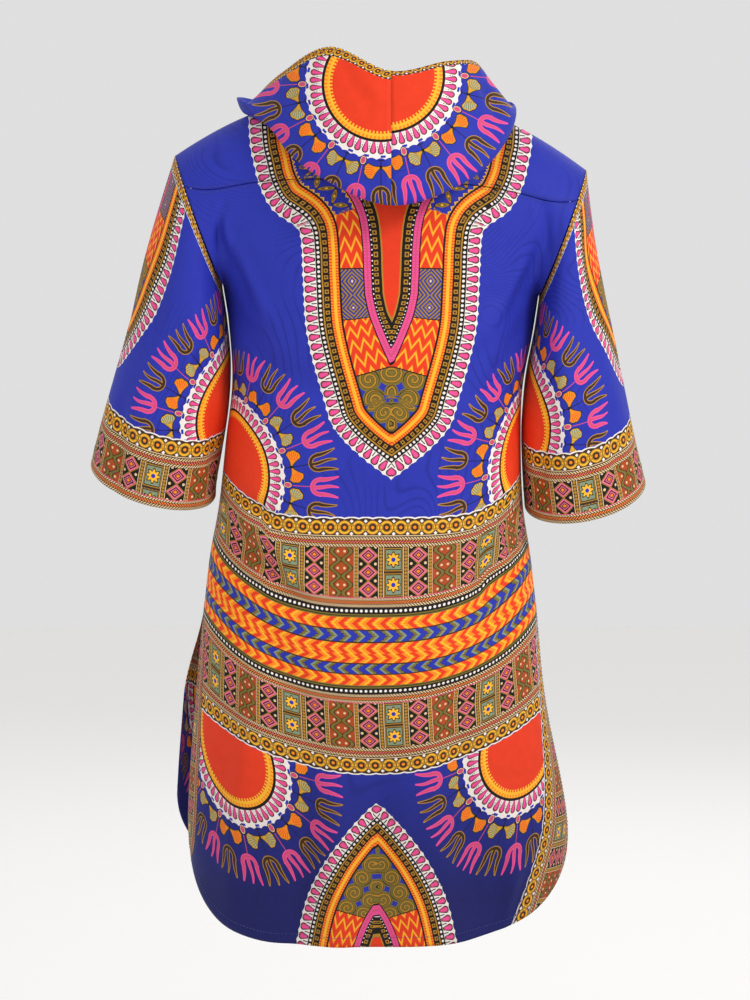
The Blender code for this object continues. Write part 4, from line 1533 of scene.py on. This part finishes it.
@dataclass(frozen=True)
class Outline:
    """The outer edge of a pointed motif: half widths by height, mirrored about its middle."""

    middle: float
    halves: Table
    down: bool = True
    corner: tuple[float, float] | None = None
    mitre: float = 0.32
    corner_reach: float = 0.034
    corner_near: float = 0.012
    corner_far: float = 0.05
    upper_shift: float = 0.0819
    tightness: float = 1.0
    samples: int = 160

    def measure(self, x: Numbers, z: Numbers) -> tuple[Numbers, Numbers]:
        """Measures places against the edge.

        Args:
            x: places across.
            z: heights.

        Returns:
            How far along the edge from its tip each place is, and how far inside it.
        """
        keys = np.array(sorted(row[0] for row in self.halves.rows))
        heights = np.linspace(keys[0], keys[-1], self.samples)
        if not self.down:
            heights = heights[::-1]
        widths = self.halves.read("half", heights)
        edge = np.stack((widths, heights), axis=-1)
        steps = np.diff(edge, axis=0)
        lengths = np.linalg.norm(steps, axis=1)
        reached = np.concatenate(([0.0], np.cumsum(lengths)))
        places = np.stack((np.abs(x - self.middle), z), axis=-1)
        best = np.full(x.shape, np.inf)
        along = np.zeros(x.shape)
        for start, run, length, so_far in zip(edge, steps, lengths, reached):
            share = np.clip(((places - start) @ run) / length ** 2, 0.0, 1.0)
            far = np.linalg.norm(places - start - share[..., None] * run, axis=-1)
            closer = far < best
            best = np.where(closer, far, best)
            along = np.where(closer, so_far + share * length, along)
        if self.corner:
            along = self.mitred(places, along)
        inside = places[..., 0] < self.halves.read("half", z)
        tip = heights[0]
        inside &= z > tip if self.down else z < tip
        return along, np.where(inside, best, -best) * self.tightness

    def mitred(self, places: Numbers, along: Numbers) -> Numbers:
        """Runs the rows straight to a mitre from the outline's corner, on both of its sides.

        Args:
            places: half widths and heights.
            along: how far along the edge each place is.

        Returns:
            The same, straight near the corner, and set apart above the mitre.
        """
        half, height = self.corner
        edge = np.array([[self.halves.read("half", at), at] for at in (
            height - self.corner_far, height - self.corner_near,
            height + self.corner_near, height + self.corner_far)])
        below, above = edge[1] - edge[0], edge[3] - edge[2]
        below, above = below / np.linalg.norm(below), above / np.linalg.norm(above)
        offset = places - np.array([half, height])
        upper = offset[..., 1] > -offset[..., 0] * self.mitre
        turn = self.corner_along()
        straight = turn + np.where(upper, offset @ above, offset @ below)
        near = (offset[..., 0] < 0) & (np.abs(along - turn) < self.corner_reach)
        return np.where(near, straight, along) + self.upper_shift * upper

    def corner_along(self) -> float:
        """How far along the edge from its tip the corner lies.

        Returns:
            A length in metres.
        """
        heights = np.linspace(min(row[0] for row in self.halves.rows), self.corner[1],
                              self.samples)
        edge = np.stack((self.halves.read("half", heights), heights), axis=-1)
        return float(np.linalg.norm(np.diff(edge, axis=0), axis=1).sum())


@dataclass(frozen=True)
class Kink:
    """A step in the bands, where the waist's folds lift them: at one hand, from start to end."""

    hand: Hand
    start: float
    end: float
    z: float
    half_height: float = 0.045
    lift: float = 0.009

    def lift_at(self, x: Numbers, z: Numbers) -> Numbers:
        """How much the kink lifts the bands at each place."""
        beyond = step(self.hand.value * x, self.start, self.end)
        return self.lift * beyond * hump((z - self.z) / self.half_height)


@dataclass
class Prints:
    """Where each motif of the cloth lies, in metres on the tunic.

    The bands hang in the middle. Their sag is a power curve across the tunic, flatter in the
    middle at the waist and rounder from the waist to the seat, and spans are depths below the
    shoulders.
    """

    band_top: float = -0.4857
    band_middle: float = -0.6469
    band_bottom: float = -0.7927
    band_shrink: float = 0.906
    band_run: float = -0.028
    edge_room: float = 0.0004
    outline_room: float = 0.002
    sag_width: float = 0.190
    sag_middle: float = 0.015
    sag_span: tuple[float, float] = (0.20, 0.46)
    sag_height: float = 0.064
    sag_height_loss: float = 0.010
    sag_power: float = 5.5
    waist_power_loss: float = 2.7
    waist_span: tuple[float, float] = (0.48, 0.58)
    seat_power_loss: float = 0.8
    seat_span: tuple[float, float] = (0.60, 0.76)
    kinks: tuple[Kink, ...] = (
        Kink(Hand.LEFT, 0.138, 0.152, -0.510),
        Kink(Hand.RIGHT, 0.112, 0.126, -0.545),
    )
    body_medallions: tuple[tuple[float, float], ...] = (
        (0.195, -0.450), (-0.235, -0.450), (0.195, -0.808), (-0.205, -0.808))
    chain_row: float = 0.0205
    sleeve_border: float = 0.087
    cuff_border: float = 0.012
    cuff_row: float = 0.1066
    armhole_chain: float = 0.0145
    armhole_chain_scale: float = 1.4
    sleeve_motif_rest: float = 0.126
    sleeve_medallion: tuple[float, float] = (0.016, 0.118)
    hood_chain: float = 0.0120
    hood_chain_scale: float = 1.55
    hood_chain_tucked: dict[Hand, float] = field(
        default_factory=lambda: {Hand.LEFT: 0.0, Hand.RIGHT: 0.006})
    collar_border: float = 0.04
    collar_row: float = 0.03
    hood_medallion: dict[Hand, tuple[float, float]] = field(
        default_factory=lambda: {Hand.LEFT: (0.005, 0.030), Hand.RIGHT: (-0.001, 0.040)})
    strip_row: dict[Hand, float] = field(
        default_factory=lambda: {Hand.LEFT: 0.023, Hand.RIGHT: 0.0})
    neck: Outline = Outline(-0.0075, Table("z half", (
        (-0.4400, 0.0000), (-0.4330, 0.0100), (-0.4050, 0.0450), (-0.3780, 0.0690),
        (-0.3530, 0.0780), (-0.2676, 0.1000), (-0.2016, 0.1050), (-0.1580, 0.1070),
        (-0.1400, 0.1120), (-0.1195, 0.1400), (-0.0900, 0.1570), (-0.0636, 0.1640),
        (-0.0410, 0.1690), (0.0400, 0.1760),
    )), corner=(0.116, -0.139))
    arch: Outline = Outline(0.010, Table("z half", (
        (-1.0400, 0.1020), (-0.9920, 0.0950), (-0.9400, 0.0820), (-0.8950, 0.0600),
        (-0.8600, 0.0340), (-0.8350, 0.0100), (-0.8270, 0.0000),
    )), down=False, tightness=1.2)
    sleeve_motif: Outline = Outline(0.016, Table("z half", (
        (0.0000, 0.0000), (0.0120, 0.0150), (0.0500, 0.0420), (0.1000, 0.0660),
        (0.2000, 0.0900), (0.4000, 0.0960),
    )))

    def sag(self, points: Numbers) -> Numbers:
        """How much higher the bands lie at the sides than in the middle, by the cloth's hang.

        Args:
            points: points of the cloth.

        Returns:
            Heights in metres.
        """
        x, z = points[..., 0], points[..., 2]
        far = np.abs((x - self.sag_middle) / self.sag_width)
        waist, seat = step(-z, *self.waist_span), step(-z, *self.seat_span)
        power = self.sag_power - self.waist_power_loss * waist - self.seat_power_loss * seat
        height = self.sag_height - self.sag_height_loss * seat
        kinks = sum(kink.lift_at(x, z) for kink in self.kinks)
        return (height * far ** power + kinks) * step(-z, *self.sag_span)

    def band_zones(self) -> tuple[Zone, ...]:
        """The woven-looking bands round the hips, and the same rows mirrored below.

        Returns:
            The upper and the lower half of the bands.
        """
        room = self.edge_room
        return (
            Zone("border",
                 lambda cloth: (cloth.rise < self.band_top - room)
                 & (cloth.rise > self.band_middle + room),
                 lambda cloth: (cloth.run - self.band_run, self.band_top - cloth.rise)),
            Zone("border",
                 lambda cloth: (cloth.rise < self.band_middle - room)
                 & (cloth.rise > self.band_bottom + room),
                 lambda cloth: (self.band_run - cloth.run,
                                (cloth.rise - self.band_bottom) / self.band_shrink)),
        )

    @property
    def band_levels(self) -> tuple[tuple[str, float], ...]:
        """The heights where the bands begin, meet and end."""
        return tuple(("rise", level) for level in (self.band_top, self.band_middle,
                                                   self.band_bottom))

    def motif_zone(self, outline: Outline) -> Zone:
        """A pointed motif seen flat from its side of the tunic.

        Args:
            outline: the motif's outer edge.

        Returns:
            Its zone.
        """
        def measured(cloth: Cloth) -> tuple[Numbers, Numbers]:
            """Along and inside the outline."""
            return outline.measure(cloth.points[..., 0], cloth.points[..., 2])

        low = self.band_top if outline.down else -2.0
        high = 1.0 if outline.down else self.band_bottom
        return Zone("neck_motif",
                    lambda cloth: (measured(cloth)[1] > -self.outline_room)
                    & (cloth.rise > low) & (cloth.rise < high), measured)

    def medallion_zones(self) -> tuple[Zone, ...]:
        """Round medallions cut by the side seams, over and under the bands.

        Returns:
            One zone for each medallion.
        """
        return tuple(
            Zone("medallion",
                 lambda cloth, run=run, rise=rise: (np.sign(run) * cloth.run >= 0)
                 & ((cloth.rise > self.band_middle) == (rise > self.band_middle)),
                 lambda cloth, run=run, rise=rise: (cloth.run - run, cloth.rise - rise))
            for run, rise in self.body_medallions
        )

    def body_zones(self) -> tuple[Zone, ...]:
        """All zones of the back, the yoke and the front, the uppermost first."""
        return (*self.band_zones(), self.motif_zone(self.neck), self.motif_zone(self.arch),
                *self.medallion_zones())

    @property
    def sleeve_levels(self) -> tuple[tuple[str, float], ...]:
        """Where the sleeve's border, its hem's border and its chain end."""
        return (("rest", self.sleeve_border), ("rest", self.cuff_border),
                ("reach", self.armhole_chain))

    def sleeve_zones(self) -> tuple[Zone, ...]:
        """The sleeve's border, its chain along the armhole, its pointed and round motifs.

        Returns:
            The sleeve's zones, the uppermost first.
        """
        small, room = self.armhole_chain_scale, self.edge_room
        run, rest = self.sleeve_medallion

        def pointed(cloth: Cloth) -> tuple[Numbers, Numbers]:
            """Along and inside the pointed motif's outline."""
            return self.sleeve_motif.measure(cloth.outer, cloth.rest - self.sleeve_motif_rest)

        return (
            Zone("border", lambda cloth: cloth.rest < self.cuff_border - room,
                 lambda cloth: (cloth.run, self.cuff_row - cloth.rest)),
            Zone("border", lambda cloth: cloth.rest < self.sleeve_border - room,
                 lambda cloth: (cloth.run, self.sleeve_border - cloth.rest)),
            Zone("border", lambda cloth: cloth.reach < self.armhole_chain - room,
                 lambda cloth: (cloth.run * small, self.chain_row - cloth.reach * small)),
            Zone("neck_motif", lambda cloth: pointed(cloth)[1] > -self.outline_room, pointed),
            Zone("medallion", lambda cloth: np.ones_like(cloth.run),
                 lambda cloth: (np.abs(cloth.run) - run, cloth.rest - rest)),
        )

    def hood_levels(self, hand: Hand) -> tuple[tuple[str, float], ...]:
        """Where the chain along the hood's rim ends."""
        return (("rest", self.hood_chain - self.hood_chain_tucked[hand]),)

    def hood_zones(self, hand: Hand) -> tuple[Zone, ...]:
        """The hood's round motif over its fold, its rim's chain and the border inside.

        Args:
            hand: the wearer's left or right.

        Returns:
            The hood half's zones, the uppermost first.
        """
        small, tucked = self.hood_chain_scale, self.hood_chain_tucked[hand]
        x, z = self.hood_medallion[hand]
        return (
            Zone("border", lambda cloth: cloth.rest + tucked < self.hood_chain - self.edge_room,
                 lambda cloth: (cloth.run * small,
                                self.chain_row - (cloth.rest + tucked) * small)),
            Zone("border", lambda cloth: cloth.reach < self.collar_border,
                 lambda cloth: (cloth.run, self.collar_row + cloth.reach)),
            Zone("medallion", lambda cloth: np.ones_like(cloth.run),
                 lambda cloth: (cloth.points[..., 0] - x, cloth.points[..., 2] - z)),
        )

    def strip_zones(self, hand: Hand) -> tuple[Zone, ...]:
        """The border print running down the strip."""
        row = self.strip_row[hand]
        return (Zone("border", lambda cloth: np.ones_like(cloth.run),
                     lambda cloth: (cloth.points[..., 2], row + cloth.run - cloth.run[:, [0]])),)


@dataclass
class Tunic:
    """The whole garment: its form, its prints and its panels."""

    form: TunicForm = field(default_factory=TunicForm)
    prints: Prints = field(default_factory=Prints)
    skirt_rows: int = 8
    waist_rows: int = 8
    armhole_rows: int = 12
    yoke_rows: int = 4
    strip_end_rows: float = 0.6
    side_fade_span: tuple[float, float] = (0.86, 0.99)
    sleeve_fade_end: float = 0.15
    hood_fade_end: float = 0.05
    hood_fade_span: tuple[float, float] = (0.3, 0.5)

    def back_points(self, aside: Numbers, up: Numbers) -> Numbers:
        """The back panel from its hem to the yoke's seam, in grid shares.

        Args:
            aside: shares across the grid.
            up: shares up the grid.

        Returns:
            Points on the cloth's middle.
        """
        form, across = self.form, aside * 2 - 1
        row = up * (self.skirt_rows + self.waist_rows + self.armhole_rows - self.yoke_rows)
        skirt, waist = self.skirt_rows, self.skirt_rows + self.waist_rows
        down = np.clip(1 - row / skirt, 0.0, 1.0)
        limit = form.strip_edge(across, down) - form.seam_gap / form.arc_of_across
        limit = blend(limit, 1.0, step(row, skirt, skirt + self.strip_end_rows))
        low = form.skirt_points(Side.BACK, across * limit, down)
        z = blend(form.slit_top_z, form.armpit_z, np.clip((row - skirt) / self.waist_rows, 0, 1))
        middle = form.body_points(Side.BACK, across * limit, z)
        share = np.clip((row - waist) / (self.armhole_rows - self.yoke_rows), 0, 1)
        high = form.chest_points(Side.BACK, across, share * form.yoke_seam(across))
        return np.where((row <= skirt)[:, None], low,
                        np.where((row < waist)[:, None], middle, high))

    def front_points(self, aside: Numbers, up: Numbers) -> Numbers:
        """The front panel from its hem to the ridge and the neck hole, in grid shares.

        Args:
            aside: shares across the grid.
            up: shares up the grid.

        Returns:
            Points on the cloth's middle.
        """
        form, across = self.form, aside * 2 - 1
        row = up * (self.skirt_rows + self.waist_rows + self.armhole_rows)
        skirt, waist = self.skirt_rows, self.skirt_rows + self.waist_rows
        low = form.skirt_points(Side.FRONT, across, np.clip(1 - row / skirt, 0.0, 1.0))
        z = blend(form.slit_top_z, form.armpit_z, np.clip((row - skirt) / self.waist_rows, 0, 1))
        middle = form.body_points(Side.FRONT, across, z)
        high = form.chest_points(Side.FRONT, across,
                                 np.clip((row - waist) / self.armhole_rows, 0, 1))
        return np.where((row < skirt)[:, None], low,
                        np.where((row < waist)[:, None], middle, high))

    def yoke_points(self, aside: Numbers, up: Numbers) -> Numbers:
        """The yoke from its seam to the shoulder's ridge and the neck hole."""
        form, across = self.form, aside * 2 - 1
        start = form.yoke_seam(across) + form.seam_gap / form.armhole_up_z
        return form.chest_points(Side.BACK, across, blend(start, 1.0, up))

    def strip_points(self, hand: Hand, aside: Numbers, up: Numbers) -> Numbers:
        """A border strip beside the back's slit, from its seam to the slit's edge.

        Args:
            hand: the wearer's left or right.
            aside: shares across the grid.
            up: shares up the grid.

        Returns:
            Points on the cloth's middle.
        """
        form, down = self.form, 1 - up
        edge = form.strip_edge(np.full_like(aside, hand.value), down)
        start = edge + form.seam_gap / form.arc_of_across
        return form.skirt_points(Side.BACK, hand.value * blend(start, 1.0, aside), down)

    def side_fade(self, aside: Numbers, up: Numbers) -> Numbers:
        """Lets the body's creases die out towards its side seams and armholes."""
        return 1 - step(np.abs(aside * 2 - 1), *self.side_fade_span)

    def sleeve_fade(self, aside: Numbers, up: Numbers) -> Numbers:
        """Lets the sleeve's creases die out towards its armhole."""
        return step(up, 0.0, self.sleeve_fade_end)

    def hood_fade(self, aside: Numbers, up: Numbers) -> Numbers:
        """Lets the hood's creases die out towards its centre seam and its neck."""
        return step(aside, 0.0, self.hood_fade_end) * step(up, *self.hood_fade_span)

    def body_panels(self) -> list[Panel]:
        """The back, the front and the yoke.

        Returns:
            The body's panels.
        """
        zones, sag, levels = self.prints.body_zones(), self.prints.sag, self.prints.band_levels
        hem, topstitch = Seam(Edge.BOTTOM, 0.012), 0.003
        return [
            Panel("back", "body_print", columns=136, rows=216, place=self.back_points,
                  zones=zones, flat=(0.60, 0.88), area=0.44, creases=BACK_CREASES,
                  crease_fade=self.side_fade, sag=sag, outward=-1.0,
                  seams=(hem, Seam(Edge.TOP, topstitch)), levels=levels),
            Panel("front", "body_print", columns=104, rows=176, place=self.front_points,
                  zones=zones, flat=(0.61, 1.02), area=0.52, creases=FRONT_CREASES,
                  crease_fade=self.side_fade, sag=sag, seams=(hem,), levels=levels),
            Panel("back_yoke", "body_print", columns=136, rows=32, place=self.yoke_points,
                  zones=zones, flat=(0.52, 0.15), area=0.068, outward=-1.0,
                  seams=(Seam(Edge.BOTTOM, topstitch),)),
        ]

    def sleeve(self, hand: Hand) -> Panel:
        """One sleeve.

        Args:
            hand: the wearer's left or right.

        Returns:
            Its panel.
        """
        return Panel(
            f"sleeve_{hand.name.lower()}", "sleeve_print", columns=112, rows=72,
            place=lambda aside, up: self.form.sleeve_points(hand, aside, up),
            zones=self.prints.sleeve_zones(), flat=(0.50, 0.33),
            area=0.153 if hand is Hand.LEFT else 0.146, creases=SLEEVE_CREASES,
            crease_fade=self.sleeve_fade, closed=True, outward=-float(hand.value),
            seams=(Seam(Edge.TOP, 0.020), Seam(Edge.BOTTOM, 0.003)),
            levels=self.prints.sleeve_levels)

    def hood_half(self, hand: Hand) -> Panel:
        """One half of the hood.

        Args:
            hand: the wearer's left or right.

        Returns:
            Its panel.
        """
        return Panel(
            f"hood_{hand.name.lower()}", "hood_print", columns=96, rows=84,
            place=lambda aside, up: self.form.hood_points(hand.value * 180.0 * aside, up),
            zones=self.prints.hood_zones(hand), flat=(0.34, 0.31), area=0.080,
            creases=HOOD_CREASES, crease_fade=self.hood_fade, outward=-float(hand.value),
            seams=(Seam(Edge.TOP, 0.003),), levels=self.prints.hood_levels(hand))

    def strip(self, hand: Hand) -> Panel:
        """One border strip.

        Args:
            hand: the wearer's left or right.

        Returns:
            Its panel.
        """
        return Panel(
            f"strip_{hand.name.lower()}", "border_print", columns=28, rows=90,
            place=lambda aside, up: self.strip_points(hand, aside, up),
            zones=self.prints.strip_zones(hand), flat=(0.09, 0.37),
            area=0.015 if hand is Hand.LEFT else 0.022, sag=self.prints.sag,
            outward=-float(hand.value),
            seams=(Seam(Edge.FIRST, 0.002), Seam(Edge.LAST, 0.006), Seam(Edge.BOTTOM, 0.012)))

    def panels(self) -> list[Panel]:
        """Every cut piece of the tunic.

        Returns:
            The body's panels, and then those of each hand.
        """
        made = self.body_panels()
        for hand in Hand:
            made += [self.sleeve(hand), self.hood_half(hand), self.strip(hand)]
        return made


@dataclass(frozen=True)
class Lamp:
    """A soft box: where it stands, what it shines at, its size in metres and its power."""

    name: str
    place: tuple[float, float, float]
    size: float
    power: float


@dataclass
class Studio:
    """Pale floor, soft lamps and the camera at the photograph's angle."""

    aim: tuple[float, float, float] = (0.012, 0.0, -0.474)
    camera_place: tuple[float, float, float] = (0.012, 4.1, -0.150)
    lens: float = 120.0
    clip_end: float = 50.0
    floor_z: float = -1.45
    floor_size: float = 14.0
    floor_colour: str = "FCFBFA"
    floor_roughness: float = 0.9
    lamps: tuple[Lamp, ...] = (
        Lamp("key_softbox", (-2.7, 2.5, 1.7), 0.9, 80.0),
        Lamp("fill_softbox", (2.4, 3.0, 0.4), 1.8, 14.0),
        Lamp("front_softbox", (-0.6, -3.2, 1.4), 2.4, 20.0),
    )
    sky_colour: str = "FFFFFF"
    sky_strength: float = 0.74

    def build(self) -> None:
        """Sets the camera, the lamps, the floor and the world."""
        bpy.context.scene.view_settings.view_transform = "Standard"
        self.camera()
        for lamp in self.lamps:
            self.lamp(lamp)
        self.floor()
        world = bpy.context.scene.world or bpy.data.worlds.new("studio")
        bpy.context.scene.world = world
        world.use_nodes = True
        sky = world.node_tree.nodes["Background"]
        sky.inputs["Color"].default_value = linear_colour(self.sky_colour)
        sky.inputs["Strength"].default_value = self.sky_strength

    def aimed(self, thing: bpy.types.Object, place: tuple[float, float, float]) -> None:
        """Places a thing and turns it to the tunic's middle.

        Args:
            thing: a camera or a lamp.
            place: where it stands.
        """
        thing.location = place
        thing.rotation_euler = (
            Vector(self.aim) - Vector(place)).to_track_quat("-Z", "Y").to_euler()
        bpy.context.scene.collection.objects.link(thing)

    def camera(self) -> None:
        """The camera behind the tunic, a little over its waist."""
        data = bpy.data.cameras.new("camera")
        data.lens = self.lens
        data.clip_end = self.clip_end
        eye = bpy.data.objects.new("camera", data)
        self.aimed(eye, self.camera_place)
        bpy.context.scene.camera = eye

    def lamp(self, lamp: Lamp) -> None:
        """One soft box."""
        data = bpy.data.lights.new(lamp.name, "AREA")
        data.size, data.energy = lamp.size, lamp.power
        self.aimed(bpy.data.objects.new(lamp.name, data), lamp.place)

    def floor(self) -> None:
        """The pale studio floor, far below the hem."""
        sheet = bmesh.new()
        bmesh.ops.create_grid(sheet, x_segments=1, y_segments=1, size=self.floor_size / 2)
        for vert in sheet.verts:
            vert.co.z = self.floor_z
        mesh = bpy.data.meshes.new("studio_floor")
        sheet.to_mesh(mesh)
        sheet.free()
        # Studio paper, matt and nearly white, which shows no gleam.
        paper = bpy.data.materials.new("matt_paper_floor")
        paper.use_nodes = True
        shader = paper.node_tree.nodes["Principled BSDF"]
        shader.inputs["Base Color"].default_value = linear_colour(self.floor_colour)
        shader.inputs["Roughness"].default_value = self.floor_roughness
        mesh.materials.append(paper)
        floor = bpy.data.objects.new("studio_floor", mesh)
        bpy.context.scene.collection.objects.link(floor)


def main() -> None:
    """Builds the studio and the tunic, and reports each piece."""
    logging.basicConfig(level=logging.INFO, format="%(message)s")
    log = logging.getLogger("tunic")
    Studio().build()
    prints = {
        printed.name: WaxCotton(printed).material() for printed in (BORDER, NECK_MOTIF, MEDALLION)
    }
    thread = SewingThread().material()
    for panel in Tunic().panels():
        piece = panel.build(prints, thread)
        area = sum(face.area for face in piece.data.polygons)
        log.info("%s: %d faces, %.3f m2 of cloth", piece.name, len(piece.data.polygons), area)


if __name__ == "__main__":
    main()
